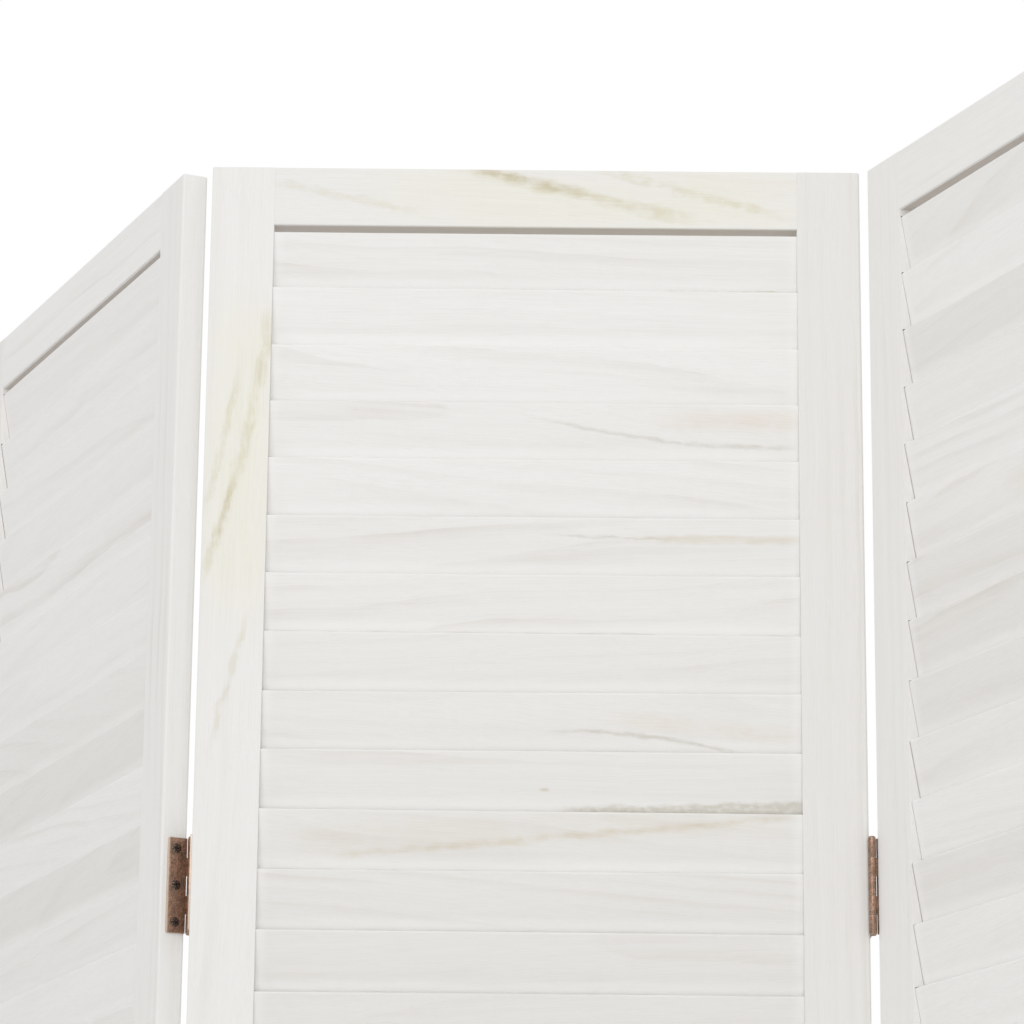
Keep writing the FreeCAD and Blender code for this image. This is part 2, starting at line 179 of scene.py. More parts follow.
def panelPlace(panel):   # a panel's own frame, as the centre panel's, to where it stands
    if panel == "centre":
        return Matrix.Identity(4)
    joint = joints[panel]
    axis = Vector((joint["pos_m"][0], joint["pos_m"][1], 0))
    flat = Matrix.Translation((2 * axis.x, 0, 0))
    turn = Matrix.Rotation(math.radians(joint["range_deg"][0]), 4, "Z")
    return Matrix.Translation(axis) @ turn @ Matrix.Translation(-axis) @ flat


def leafPlace(side, onSidePanel):   # a joint's frame: its leaves lie towards +Y, the side panel's at +X
    joint = joints[side]
    axis = Vector((joint["pos_m"][0], joint["pos_m"][1], 0))
    facing = Matrix.Rotation(math.pi if side == "left" else 0, 4, "Z")
    swing = Matrix.Rotation(math.radians(joint["range_deg"][0]) if onSidePanel else 0, 4, "Z")
    return Matrix.Translation(axis) @ facing @ swing


print(f"frame read: {slatCount} slats of pitch {slatPitch * 1000:.2f} mm in each panel")


# helpers that make meshes and trees

def newObject(name, mesh):
    made = bpy.data.objects.new(name, mesh)
    scene.collection.objects.link(made)
    return made


def meshFrom(name, points, faces):
    mesh = bpy.data.meshes.new(name)
    mesh.from_pydata(points, [], faces)
    return newObject(name, mesh)


def softBlock(name, low, high, radius):   # a block with every edge eased
    block = bmesh.new()
    bmesh.ops.create_cube(block, size=1)
    size = Vector(high) - Vector(low)
    middle = (Vector(high) + Vector(low)) / 2
    for vert in block.verts:
        vert.co = Vector((vert.co.x * size.x, vert.co.y * size.y, vert.co.z * size.z)) + middle
    bmesh.ops.bevel(block, geom=block.edges[:], offset=radius, segments=1, profile=0.5, affect="EDGES")
    mesh = bpy.data.meshes.new(name)
    block.to_mesh(mesh)
    block.free()
    return newObject(name, mesh)


def lathe(name, outline, steps):   # outline of (radius, height) from one pole to the other, turned about Z
    points, rings = [], []
    for radius, height in outline:
        if radius < 1e-7:
            rings.append([len(points)])
            points.append((0, 0, height))
        else:
            rings.append(list(range(len(points), len(points) + steps)))
            for step in range(steps):
                angle = 2 * math.pi * step / steps
                points.append((radius * math.cos(angle), radius * math.sin(angle), height))
    faces = []
    for lower, upper in zip(rings, rings[1:]):
        for step in range(steps):
            following = (step + 1) % steps
            ring = [lower[step % len(lower)], lower[following % len(lower)],
                    upper[following % len(upper)], upper[step % len(upper)]]
            faces.append(tuple(dict.fromkeys(ring)))
    return meshFrom(name, points, faces)


def withNodes(target, tree, values):   # the tree as a modifier, with its inputs set by their identifiers
    modifier = target.modifiers.new(tree.name, "NODES")
    modifier.node_group = tree
    for item in tree.interface.items_tree:
        if item.item_type == "SOCKET" and item.in_out == "INPUT" and item.name in values:
            modifier[item.identifier] = values[item.name]


def smooth(target, angle):   # smooth faces, with edges steeper than the angle kept sharp
    for face in target.data.polygons:
        face.use_smooth = True
    target.data.set_sharp_from_angle(angle=math.radians(angle))


def settle(target, place=None, smoothAngle=None):   # evaluated result as the object's own plain mesh
    graph = bpy.context.evaluated_depsgraph_get()
    mesh = bpy.data.meshes.new_from_object(target.evaluated_get(graph), depsgraph=graph)
    name, old = target.name, target.data
    target.modifiers.clear()
    target.data = mesh
    mesh.name = name
    bpy.data.meshes.remove(old)
    if place is not None:
        mesh.transform(place)
    tidy = bmesh.new()
    tidy.from_mesh(mesh)
    bmesh.ops.remove_doubles(tidy, verts=tidy.verts, dist=1e-6)
    bmesh.ops.dissolve_degenerate(tidy, dist=1e-6, edges=tidy.edges)
    bmesh.ops.recalc_face_normals(tidy, faces=tidy.faces)
    tidy.to_mesh(mesh)
    tidy.free()
    if smoothAngle is not None:
        smooth(target, smoothAngle)


def joined(name, parts):   # one mesh object of several, which all stand where they belong
    whole = bmesh.new()
    materials = []
    for part in parts:
        for material in part.data.materials:
            if material not in materials:
                materials.append(material)
    for part in parts:
        first = len(whole.faces)
        whole.from_mesh(part.data)
        whole.faces.ensure_lookup_table()
        for face in whole.faces[first:]:
            if part.data.materials:
                face.material_index = materials.index(part.data.materials[face.material_index])
    mesh = bpy.data.meshes.new(name)
    whole.to_mesh(mesh)
    whole.free()
    for material in materials:
        mesh.materials.append(material)
    for part in parts:
        bpy.data.objects.remove(part)
    return newObject(name, mesh)


def newTree(name, inputs):   # a Geometry Nodes tree with named inputs: name, socket kind, first value
    tree = bpy.data.node_groups.new(name, "GeometryNodeTree")
    tree.interface.new_socket("Geometry", in_out="OUTPUT", socket_type="NodeSocketGeometry")
    tree.interface.new_socket("Geometry", in_out="INPUT", socket_type="NodeSocketGeometry")
    for label, kind, value in inputs:
        socket = tree.interface.new_socket(label, in_out="INPUT", socket_type=f"NodeSocket{kind}")
        if value is not None:
            socket.default_value = value
    bench = Bench(tree)
    return tree, bench, bench.node("NodeGroupInput")


def endTree(bench, geometry, material):
    finished = bench.node("GeometryNodeSetMaterial", values={"Geometry": geometry, "Material": material})
    bench.node("NodeGroupOutput", values={"Geometry": finished["Geometry"]})


def store(bench, geometry, name, value, kind="FLOAT_VECTOR", domain="POINT"):
    return bench.node("GeometryNodeStoreNamedAttribute", {"data_type": kind, "domain": domain}, {
        "Geometry": geometry, "Name": name, "Value": value})["Geometry"]


def inUse(sockets):   # of a node's sockets for all kinds of data, those of the kind that is set
    return [socket for socket in sockets if socket.enabled]


def scatter(bench, low, high, seed):   # random number for each element
    made = bench.node("FunctionNodeRandomValue", {"data_type": "FLOAT"}, {"Seed": seed}).made
    for socket, value in zip(inUse(made.inputs), (low, high)):
        if isinstance(value, Wire):
            bench.tree.links.new(value.socket, socket)
        else:
            socket.default_value = value
    return Wire(bench, inUse(made.outputs)[0])


# whitewashed wood. Attributes on every wooden mesh carry its grain: log is the point's place in the trunk,
# x along the grain, y and z across it, from the pith; board is its place on the board, x along, y across
# from the middle outwards, z deep; tone and worn go from 0 to 1.

def woodMaterial(name, look):
    material = bpy.data.materials.new(name)
    material.use_nodes = True
    material.node_tree.nodes.clear()
    b = Bench(material.node_tree)
    log = b.node("ShaderNodeAttribute", {"attribute_name": "log"})["Vector"]
    place = b.node("ShaderNodeAttribute", {"attribute_name": "board"})["Vector"]
    tone = b.node("ShaderNodeAttribute", {"attribute_name": "tone"})["Fac"]
    worn = b.node("ShaderNodeAttribute", {"attribute_name": "worn"})["Fac"]

    # year rings: distance from the pith, wavering along the trunk
    waver = b.node("ShaderNodeTexNoise", {"noise_dimensions": "3D"}, {
        "Vector": b.move(log, (1.0, 0.35, 0.35), "MULTIPLY"), "Scale": 9.0, "Detail": 2.0})["Color"]
    sway = b.move(b.move(waver, (-0.5, -0.5, -0.5)), (0, look["waver"], look["waver"]), "MULTIPLY")
    bent = b.move(log, sway)
    _, acrossTrunk, deepTrunk = b.split(bent)
    rings = (acrossTrunk * acrossTrunk + deepTrunk * deepTrunk) ** 0.5 / look["ringGap"]
    ringPart = rings.math("FRACT")
    year = rings.math("FLOOR")
    strength = b.node("ShaderNodeTexWhiteNoise", {"noise_dimensions": "1D"}, {"W": year})["Value"]
    lateWood = b.fade(ringPart, 0.35, 0.93) * b.fade(ringPart, 1.0, 0.95)

    # fibres: long fine streaks, and short open pores
    fibre = b.noise(bent, 1.0, 4.0, 0.62, look["fibreStretch"])
    hair = b.noise(bent, 1.0, 2.0, 0.6, look["hairStretch"])
    coarse = b.noise(bent, 1.0, 3.0, 0.5, look["streakStretch"])
    pore = b.fade(b.noise(bent, 1.0, 1.0, 0.4, look["poreStretch"]), 0.67, 0.74)

    # how thinly the wash lies: the grain shows through there
    cover = b.fade(b.noise(log, 1.0, 3.0, 0.55, look["coverStretch"]), 0.42, 0.72)
    thin = b.clamp(cover * (0.25 + 0.75 * worn))
    broken = b.fade(coarse, 0.32, 0.62)
    ringMark = lateWood * (0.3 + 0.7 * strength) * (0.3 + 0.7 * broken) * (0.12 + 0.88 * thin)

    colour = b.mix(tone, look["coolWash"], look["warmWash"])
    shade = b.clamp((coarse - 0.5) * 1.6 + 0.5) * (0.4 + 0.6 * thin)
    colour = b.mix(shade, colour, look["shadeWash"], "MULTIPLY")
    colour = b.mix(b.clamp(ringMark * look["ringShow"]), colour, look["grain"])
    colour = b.mix(b.clamp((fibre - 0.44) * 2.4) * look["fibreShow"], colour, look["grain"])
    colour = b.mix(b.fade(hair, 0.58, 0.70) * look["hairShow"], colour, look["pore"])
    colour = b.mix(pore * (0.2 + 0.8 * thin) * look["poreShow"], colour, look["pore"])

    # the wash misses the insides of slots. Painted shade darkens the slats where the next one overlaps them
    # and at their ends, and the rails' inner faces; painted light brightens the slats' top edges, ends and
    # lower parts
    along, across, deep = b.split(place)
    start = look["halfLength"] if look["upright"] else 0.0   # an upright's middle, measured from its foot
    fromMiddle = (along - start).math("ABSOLUTE")
    uneven = (b.noise(place, 1.0, 3.0, 0.6, look["missStretch"]) - 0.5) * look["missDrift"]
    if look["kind"] == "slat":
        # painted highlight: a broken light line along each slat's top edge
        lip = b.fade(across + uneven * 0.3, look["lip"] - mm(1.1), look["lip"])
        lip = lip * b.fade(b.noise(log, 1.0, 2.0, 0.5, look["lipStretch"]), 0.34, 0.66)
        colour = b.mix(lip * look["edgeShow"], colour, look["edge"])
        # painted shade: broken dark dashes on the slat's lower part, in the crease where the next slat
        # overlaps it
        overlap = b.fade(across + uneven, look["overlap"] + mm(0.5), look["overlap"] - mm(0.6))
        bareAndShadeMask = overlap * b.fade(b.noise(place, 1.0, 2.0, 0.5, look["dashStretch"]), 0.40, 0.60)
        # painted shade at the slats' ends, where they meet the stiles
        tips = b.fade(fromMiddle + uneven * 0.25, look["tips"] - mm(0.3), look["tips"] + mm(0.2))
        tips = tips * b.fade(b.noise(place, 1.0, 2.0, 0.5, look["tipStretch"]), 0.36, 0.56)
        bareAndShadeMask = b.clamp(bareAndShadeMask * look["missShow"] * (0.2 + 0.8 * worn) + tips * look["tipShow"])
        # painted light: lighter towards the slats' ends and over their lower parts, where shade falls
        paintedLight = b.fade(fromMiddle + uneven, look["tips"] - look["pool"], look["tips"])
        lower = b.fade(across + uneven, look["overlap"] + look["gather"], look["overlap"])
        paintedLight = b.clamp(paintedLight * look["poolShow"] + lower * look["lowShow"])
        colour = b.mix(paintedLight, colour, look["edge"])
    else:
        middle = b.fade(deep.math("ABSOLUTE"), look["inside"] + mm(0.3), look["inside"] - mm(0.3))
        within = b.fade(fromMiddle, look["halfLength"] - mm(1), look["halfLength"] - mm(2.5))
        bareAndShadeMask = middle * within * b.fade(
            across.math("ABSOLUTE"), look["halfWidth"] - mm(0.15), look["halfWidth"] - mm(0.5))
        # painted shade on each rail's inner face, and painted light on each stile's inner face
        inward = middle * b.fade(across, -look["halfWidth"] + mm(0.2), -look["halfWidth"] + mm(0.05))
        bareAndShadeMask = b.clamp(bareAndShadeMask + inward * look["underShow"])
        colour = b.mix(inward * look["insideShow"], colour, look["edge"])
        # painted highlight on the front part of each board's outer face
        outside = b.fade(across, look["halfWidth"] - mm(0.5), look["halfWidth"] - mm(0.15))
        outside = outside * b.fade(deep + uneven * 0.5, mm(4.2), mm(1.2))
        colour = b.mix(outside * look["edgeShow"], colour, look["edge"])
    # bare wood inside slots and bores; the same colour lays painted shade on the slats and the rails' inner
    # faces
    colour = b.mix(bareAndShadeMask, colour, look["bare"])

    # stains laid obliquely over the board, with ragged edges; on two slats, marks of painted shade laid the
    # same way
    if look["stains"]:
        run = b.split(log)[0] if look["kind"] == "slat" else along
        ragged = (b.noise(place, 1.0, 4.0, 0.65, (70, 160, 160)) - 0.5) * mm(9)
        patches = {size: b.noise(place, 1.0, 3.0, 0.6, (size, size * 1.6, size * 1.6))
                   for size in sorted({stainOrShade["patch"] for stainOrShade in look["stains"]})}
        for stainOrShade in look["stains"]:
            past = run - stainOrShade["from"]
            line = past * stainOrShade["slope"] + past * past * stainOrShade["curve"] + stainOrShade["height"]
            apart = (across - line + ragged * stainOrShade["ragged"]).math("ABSOLUTE") / stainOrShade["width"]
            soft = stainOrShade["soft"]
            ends = b.fade(past, -soft, soft) * b.fade(past, stainOrShade["length"] + soft, stainOrShade["length"] - soft)
            gaps = b.fade(patches[stainOrShade["patch"]], 0.30, 0.62) * stainOrShade["patchy"] + (1.0 - stainOrShade["patchy"])
            band = b.fade(apart, 1.0, stainOrShade["core"]) * ends * gaps * (fibre * 1.1 + 0.45)
            band = b.clamp(band * stainOrShade["strength"])
            colour = b.mix(band, colour, look[stainOrShade["colour"]], "MULTIPLY")

    relief = fibre * 0.5 + hair * 0.1 + coarse * 0.2 - pore * 0.15 - ringMark * 0.3
    bump = b.node("ShaderNodeBump", values={
        "Strength": look["relief"], "Distance": mm(0.35), "Height": relief})["Normal"]
    rough = b.clamp(look["rough"] + (fibre - 0.5) * 0.22 + pore * 0.12 - thin * 0.05)
    surface = b.node("ShaderNodeBsdfPrincipled", values={
        "Base Color": colour, "Roughness": rough, "Normal": bump, "Specular IOR Level": look["gloss"]})
    b.node("ShaderNodeOutputMaterial", values={"Surface": surface["BSDF"]})
    return material


washLook = {
    "coolWash": (0.905, 0.897, 0.882, 1),
    "warmWash": (0.825, 0.812, 0.785, 1),
    "shadeWash": (0.955, 0.950, 0.945, 1),
    "grain": (0.62, 0.56, 0.49, 1),
    "pore": (0.50, 0.45, 0.39, 1),
    # bare wood, and also the colour of painted shade
    "bare": (0.40, 0.31, 0.24, 1),
    "cream": (1.0, 0.995, 0.90, 1),
    "tan": (0.92, 0.885, 0.81, 1),
    "amber": (0.90, 0.855, 0.76, 1),
    "rose": (0.955, 0.915, 0.865, 1),
    # smoke: grey streaks, and the painted shade on slat 9's lower part
    "smokeAndShade": (0.76, 0.74, 0.68, 1),
    # the colour of painted light and painted highlights
    "edge": (0.95, 0.945, 0.935, 1),
    "olive": (0.86, 0.83, 0.72, 1),
    # umber: stains, and a painted shadow line along the top slat's lower part
    "umberAndShade": (0.82, 0.775, 0.68, 1),
    "ringGap": mm(6.5),
    "waver": mm(7),
    "fibreStretch": (16, 2400, 2400),
    "hairStretch": (45, 3800, 3800),
    "streakStretch": (6, 240, 240),
    "poreStretch": (110, 4200, 4200),
    "coverStretch": (5, 30, 30),
    "ringShow": 0.55,
    "fibreShow": 0.20,
    "hairShow": 0.07,
    "poreShow": 0.06,
    "relief": 0.4,
    "rough": 0.62,
    "gloss": 0.32,
    "kind": "frame",
    # strength of the painted highlight on the outer faces
    "edgeShow": 0.2,
    "inside": mm(6.3),
    "halfWidth": stileWidth / 2,
    "halfLength": panelHeight / 2,
    "upright": True,
    # strengths of painted shade and painted light on the boards' inner faces
    "underShow": 0.0,
    "insideShow": 0.12,
    "missStretch": (60, 300, 300),
    "missDrift": mm(2.4),
    "stains": [],
}
markShape = {
    "from": 0, "height": 0, "slope": 0, "curve": 0, "length": 0.1, "width": mm(5), "soft": mm(12),
    "ragged": 1.0, "patchy": 0.7, "patch": 95, "core": 0.2, "strength": 0.85, "colour": "olive",
}
railStains = [   # along and up the centre panel's top rail, from its middle
    {**markShape, "from": -0.08, "length": 0.26, "width": 0.03, "soft": 0.06, "patchy": 0.7, "patch": 16,
     "strength": 0.75, "colour": "cream"},
    {**markShape, "from": -0.036, "height": 0.0165, "slope": -0.235, "length": 0.115, "width": mm(5.5)},
    {**markShape, "from": -0.030, "height": 0.0160, "slope": -0.235, "length": 0.055, "width": mm(3.2),
     "colour": "umberAndShade", "strength": 0.75},
    {**markShape, "from": 0.036, "height": 0.0165, "slope": -0.270, "length": 0.095, "width": mm(4),
     "strength": 0.6, "patchy": 1.0},
    {**markShape, "from": -0.142, "height": 0.0075, "slope": -0.200, "length": 0.075, "width": mm(3.5),
     "strength": 0.45},
]
stileStains = [   # up the centre panel's left stile from its foot, and outwards from its middle
    {**markShape, "from": 1.40, "length": 0.17, "width": 0.03, "soft": 0.03, "patchy": 0.6, "patch": 14,
     "colour": "cream"},
    {**markShape, "from": 1.42, "height": 0.0160, "slope": -0.340, "curve": 0.85, "length": 0.145,
     "width": mm(4.5), "strength": 0.75},
    {**markShape, "from": 1.44, "height": 0.0100, "slope": -0.330, "curve": 0.9, "length": 0.03,
     "width": mm(3), "strength": 0.7, "colour": "umberAndShade"},
    {**markShape, "from": 1.46, "height": 0.0150, "slope": -0.260, "curve": 0.7, "length": 0.07,
     "width": mm(3), "strength": 0.65},
    {**markShape, "from": 1.33, "height": 0.0090, "slope": -0.250, "length": 0.065, "width": mm(3),
     "strength": 0.6},
]
frameWood = woodMaterial("whitewashFrame", washLook)
railLook = {
    **washLook, "halfWidth": railHeight / 2, "halfLength": opening / 2, "upright": False, "inside": mm(5.4),
    # painted shade on a rail's inner face, and no painted light there
    "underShow": 0.48, "insideShow": 0.0}
railWood = woodMaterial("whitewashRail", railLook)
stainedRail = woodMaterial("whitewashStainedRail", {**railLook, "stains": railStains})
stileWood = woodMaterial("whitewashStainedStile", {**washLook, "stains": stileStains})

# slats of the centre panel whose values are listed, counted from the top one; the rest are drawn by lot
slatTones = (0.2, 0.0, 0.0, 0.2, 0.1, 0.3, 0.3, 0.45, 0.45, 0.5, 0.65, 0.75, 0.8, 0.9)
chosenSlats = {number: {"setTone": tone} for number, tone in enumerate(slatTones)}
chosenSlats[1]["setWorn"] = 0.1
chosenSlats[2]["setWorn"] = 0.2
slatGrain = {   # where in its trunk the board was sawn, how its grain leans, and how worn it is
    0: {"setAlong": 20.5, "setAcross": 0.020, "setDeep": 0.045, "setLean": 0.02, "setWorn": 0.3},
    3: {"setAlong": 2.1, "setAcross": -0.012, "setDeep": 0.030, "setLean": 0.05, "setWorn": 0.6},
    5: {"setAlong": 7.3, "setAcross": 0.010, "setDeep": 0.040, "setLean": -0.03, "setWorn": 0.5},
    8: {"setAlong": 12.6, "setAcross": -0.016, "setDeep": 0.030, "setLean": 0.07, "setWorn": 0.7},
    9: {"setAlong": 17.2, "setAcross": 0.004, "setDeep": 0.050, "setLean": 0.01, "setWorn": 0.2},
    10: {"setAlong": 5.4, "setAcross": 0.014, "setDeep": 0.040, "setLean": 0.06, "setWorn": 0.5},
}
for number, grain in slatGrain.items():
    chosenSlats[number].update(grain)
slatMarks = [   # along each slat from its middle, and up its face from the middle
    # a painted shadow line along the top slat's lower part, in the crease above the next slat
    {"slat": 0, "from": -0.045, "height": -0.0118, "length": 0.185, "width": mm(0.7), "patchy": 1.0,
     "colour": "umberAndShade"},
    {"slat": 3, "from": 0.005, "height": 0.0100, "slope": -0.22, "curve": 0.85, "length": 0.13,
     "width": mm(1.9), "core": 0.0, "colour": "smokeAndShade", "strength": 0.6},
    {"slat": 3, "from": 0.068, "height": 0.0100, "length": 0.075, "width": mm(8), "patch": 30,
     "colour": "rose"},
    {"slat": 5, "from": 0.058, "height": 0.0080, "length": 0.085, "width": mm(3.2), "patch": 40,
     "colour": "tan"},
    {"slat": 5, "from": 0.010, "height": 0.0092, "slope": -0.02, "length": 0.06, "width": mm(1.2),
     "core": 0.0, "colour": "smokeAndShade", "strength": 0.55},
    {"slat": 8, "from": 0.015, "height": -0.0010, "slope": 0.011, "curve": -1.41, "length": 0.09,
     "width": mm(1.7), "core": 0.0, "colour": "smokeAndShade", "strength": 0.75},
    {"slat": 8, "from": 0.045, "height": 0.0060, "slope": -0.10, "length": 0.09, "width": mm(7),
     "patch": 25, "colour": "rose", "strength": 0.6},
    # a band of painted shade on slat 9's lower part, above the next slat
    {"slat": 9, "from": 0.020, "height": -0.0150, "slope": 0.035, "length": 0.145, "width": mm(6.5),
     "core": 0.5, "colour": "smokeAndShade", "patchy": 0.5, "patch": 220, "strength": 1.0},
    {"slat": 9, "from": 0.005, "height": -0.0010, "length": 0.004, "soft": mm(1.5), "width": mm(1.4),
     "patchy": 0, "ragged": 0.2, "colour": "umberAndShade"},
    {"slat": 10, "from": -0.12, "height": 0.0030, "slope": 0.06, "length": 0.25, "width": mm(12),
     "patch": 20, "colour": "tan", "strength": 0.4},
    {"slat": 10, "from": -0.10, "height": -0.0050, "slope": 0.095, "length": 0.23, "width": mm(3.2),
     "core": 0.0, "colour": "amber"},
]
slatStainsAndShade = []
for mark in slatMarks:
    stainOrShade = {**markShape, "patch": 95, "ragged": 0.6, **mark}
    stainOrShade["from"] += chosenSlats[mark["slat"]]["setAlong"]
    slatStainsAndShade.append(stainOrShade)
slatWood = woodMaterial("whitewashSlats", {
    **washLook, "kind": "slat", "upright": False, "relief": 0.45, "overlap": -mm(11.6), "tips": opening / 2,
    # painted highlight on the top edges, painted shade in the overlaps and at the ends, painted light at
    # the ends and lower parts
    "lip": mm(18.7), "pool": mm(8), "gather": mm(8.6), "missShow": 0.2, "tipShow": 0.15, "poolShow": 0.45,
    "lowShow": 0.7, "edgeShow": 0.35,
    "dashStretch": (45, 500, 500), "tipStretch": (200, 160, 160), "lipStretch": (14, 20, 20),
    "stains": slatStainsAndShade})
print("whitewashed wood mixed")


# louvre slats, and the slots that they stand in

louvre = {
    "width": mm(38),
    "thickness": mm(5),
    "tilt": math.radians(10.6),
    "round": mm(0.8),
    "roundSteps": 3,
    "stations": 9,
    "slide": mm(0.22),
    "lift": mm(0.45),
    "tiltSpread": math.radians(0.55),
    "rollSpread": math.radians(0.13),
    "bow": mm(0.5),
    "slotEase": mm(0.22),
    "slotDepth": mm(6),
    "shorter": mm(1),   # than the slots would let it be
}
notSet = -99.0   # on a slat's vertex, a value that is left to the lot

slatInputs = [
    ("Count", "Int", slatCount), ("Pitch", "Float", slatPitch), ("First Height", "Float", 0.1),
    ("Middle Depth", "Float", 0.0),
    ("Width", "Float", louvre["width"]), ("Thickness", "Float", louvre["thickness"]),
    ("Length", "Float", slatLength), ("Round", "Float", louvre["round"]), ("Tilt", "Float", louvre["tilt"]),
    ("Tilt Spread", "Float", louvre["tiltSpread"]), ("Roll Spread", "Float", louvre["rollSpread"]),
    ("Slide", "Float", louvre["slide"]), ("Lift", "Float", louvre["lift"]), ("Seed", "Int", 1),
    ("Material", "Material", None),
]


def slatSpots(b, given):   # the places that slats and slots share: points, and the turn at each
    line = b.node("GeometryNodeMeshLine", {"mode": "OFFSET"}, {
        "Count": given["Count"],
        "Start Location": b.vector(0.0, given["Middle Depth"], given["First Height"]),
        "Offset": b.vector(0.0, 0.0, given["Pitch"])})
    slide, lift, seed = given["Slide"], given["Lift"], given["Seed"]
    nudge = b.vector(0.0, scatter(b, 0.0 - slide, slide, seed), scatter(b, 0.0 - lift, lift, seed + 1.0))
    moved = b.node("GeometryNodeSetPosition", values={"Geometry": line["Mesh"], "Offset": nudge})
    spread, roll = given["Tilt Spread"], given["Roll Spread"]
    turn = b.vector(
        given["Tilt"] + scatter(b, 0.0 - spread, spread, seed + 2.0),
        scatter(b, 0.0 - roll, roll, seed + 3.0), 0.0)
    return moved["Geometry"], turn


def board(b, width, deep, length, ease, steps, stations):   # a board along X, with eased long edges
    outline = b.node("GeometryNodeCurvePrimitiveQuadrilateral", {"mode": "RECTANGLE"}, {
        "Width": deep, "Height": width})
    eased = b.node("GeometryNodeFilletCurve", {"mode": "POLY"}, {
        "Curve": outline["Curve"], "Count": steps, "Radius": ease})
    run = b.node("GeometryNodeCurvePrimitiveLine", values={
        "Start": b.vector(length * -0.5, 0.0, 0.0), "End": b.vector(length * 0.5, 0.0, 0.0)})
    cut = b.node("GeometryNodeResampleCurve", {"mode": "COUNT"}, {"Curve": run["Curve"], "Count": stations})
    return b.node("GeometryNodeCurveToMesh", values={
        "Curve": cut["Curve"], "Profile Curve": eased["Curve"], "Fill Caps": True})["Mesh"]


def slatTree():
    tree, b, given = newTree("louvreSlats", slatInputs + [
        ("Bow", "Float", louvre["bow"]), ("Steps", "Int", louvre["roundSteps"]),
        ("Stations", "Int", louvre["stations"])])
    slat = board(b, given["Width"], given["Thickness"], given["Length"], given["Round"],
                 given["Steps"], given["Stations"])
    x, y, z = b.split(b.node("GeometryNodeInputPosition")["Position"])
    marked = store(b, slat, "board", b.vector(x, z, y))
    spots, turn = slatSpots(b, given)
    seed = given["Seed"]
    laid = b.node("GeometryNodeInstanceOnPoints", values={
        "Points": spots, "Instance": marked, "Rotation": turn})
    index = b.node("GeometryNodeInputIndex")["Index"]

    def named(name, kind):
        made = b.node("GeometryNodeInputNamedAttribute", {"data_type": kind}, {"Name": name}).made
        return Wire(b, inUse(made.outputs)[0])

    def unlessSet(name, drawn):   # the drawn value, except for slats whose value is given
        picked = b.node("GeometryNodeSampleIndex", {"data_type": "FLOAT", "domain": "POINT"}, {
            "Geometry": given["Geometry"], "Value": named(name, "FLOAT"), "Index": index}).made
        value = Wire(b, inUse(picked.outputs)[0])
        return b.node("GeometryNodeSwitch", {"input_type": "FLOAT"}, {
            "Switch": value.math("GREATER_THAN", notSet / 2), "True": value, "False": drawn})["Output"]

    pith = b.vector(
        unlessSet("setAlong", scatter(b, -40.0, 40.0, seed + 4.0)),
        unlessSet("setAcross", scatter(b, -0.035, 0.035, seed + 8.0)),
        unlessSet("setDeep", scatter(b, 0.015, 0.075, seed + 9.0)))
    chosen = store(b, laid["Instances"], "pith", pith, domain="INSTANCE")
    lots = {
        "tone": scatter(b, 0.0, 1.0, seed + 5.0) ** 3.0,
        "lean": scatter(b, -0.09, 0.09, seed + 6.0),
        "worn": scatter(b, 0.0, 1.0, seed + 10.0) ** 2.0,
    }
    for name, drawn in lots.items():
        chosen = store(b, chosen, name, unlessSet(f"set{name.capitalize()}", drawn), "FLOAT", "INSTANCE")
    chosen = store(b, chosen, "bow", scatter(b, -1.0, 1.0, seed + 7.0) * given["Bow"], "FLOAT", "INSTANCE")
    real = b.node("GeometryNodeRealizeInstances", values={"Geometry": chosen})["Geometry"]

    boardX, boardY, boardZ = b.split(named("board", "FLOAT_VECTOR"))
    lean = named("lean", "FLOAT")
    leaning = b.vector(boardX, boardY + lean * boardX, boardZ + lean * 0.6 * boardX)
    real = store(b, real, "log", b.move(leaning, named("pith", "FLOAT_VECTOR")))
    reach = boardX / (given["Length"] * 0.5)
    sag = b.vector(0.0, (1.0 - reach * reach) * named("bow", "FLOAT"), 0.0)
    real = b.node("GeometryNodeSetPosition", values={"Geometry": real, "Offset": sag})["Geometry"]
    for spare in ("pith", "lean", "bow"):
        real = b.node("GeometryNodeRemoveAttribute", values={"Geometry": real, "Name": spare})["Geometry"]
    endTree(b, real, given["Material"])
    return tree


def louvreValues(panel):
    return {
        "Count": slatCount, "Pitch": slatPitch, "First Height": firstBank[0].z + slatSpan / 2,
        "Middle Depth": slatMiddleY, "Seed": 11 + 20 * panels.index(panel),
        "Length": slatLength - louvre["shorter"],
    }


def slatRow(panel):   # one vertex for each slat, carrying what was chosen for it
    row = meshFrom(f"{panel}Slats", [(0, 0, k * slatPitch) for k in range(slatCount)], [])
    for name in ("setAlong", "setAcross", "setDeep", "setLean", "setWorn", "setTone"):
        values = row.data.attributes.new(name, "FLOAT", "POINT").data
        for k in range(slatCount):
            choice = chosenSlats.get(slatCount - 1 - k, {}) if panel == "centre" else {}
            values[k].value = choice.get(name, notSet)
    return row


slatsTree = slatTree()
for panel in panels:
    bank = slatRow(panel)
    withNodes(bank, slatsTree, {**louvreValues(panel), "Material": slatWood})
    settle(bank, panelPlace(panel))
    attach(bank, f"{panel}_panel")
    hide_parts(*[name.replace("centre", panel) for name in banks])
    print(f"{panel} panel: {slatCount} slats, {len(bank.data.polygons)} faces")


# frames: stiles with their slots and bored holes, and rails

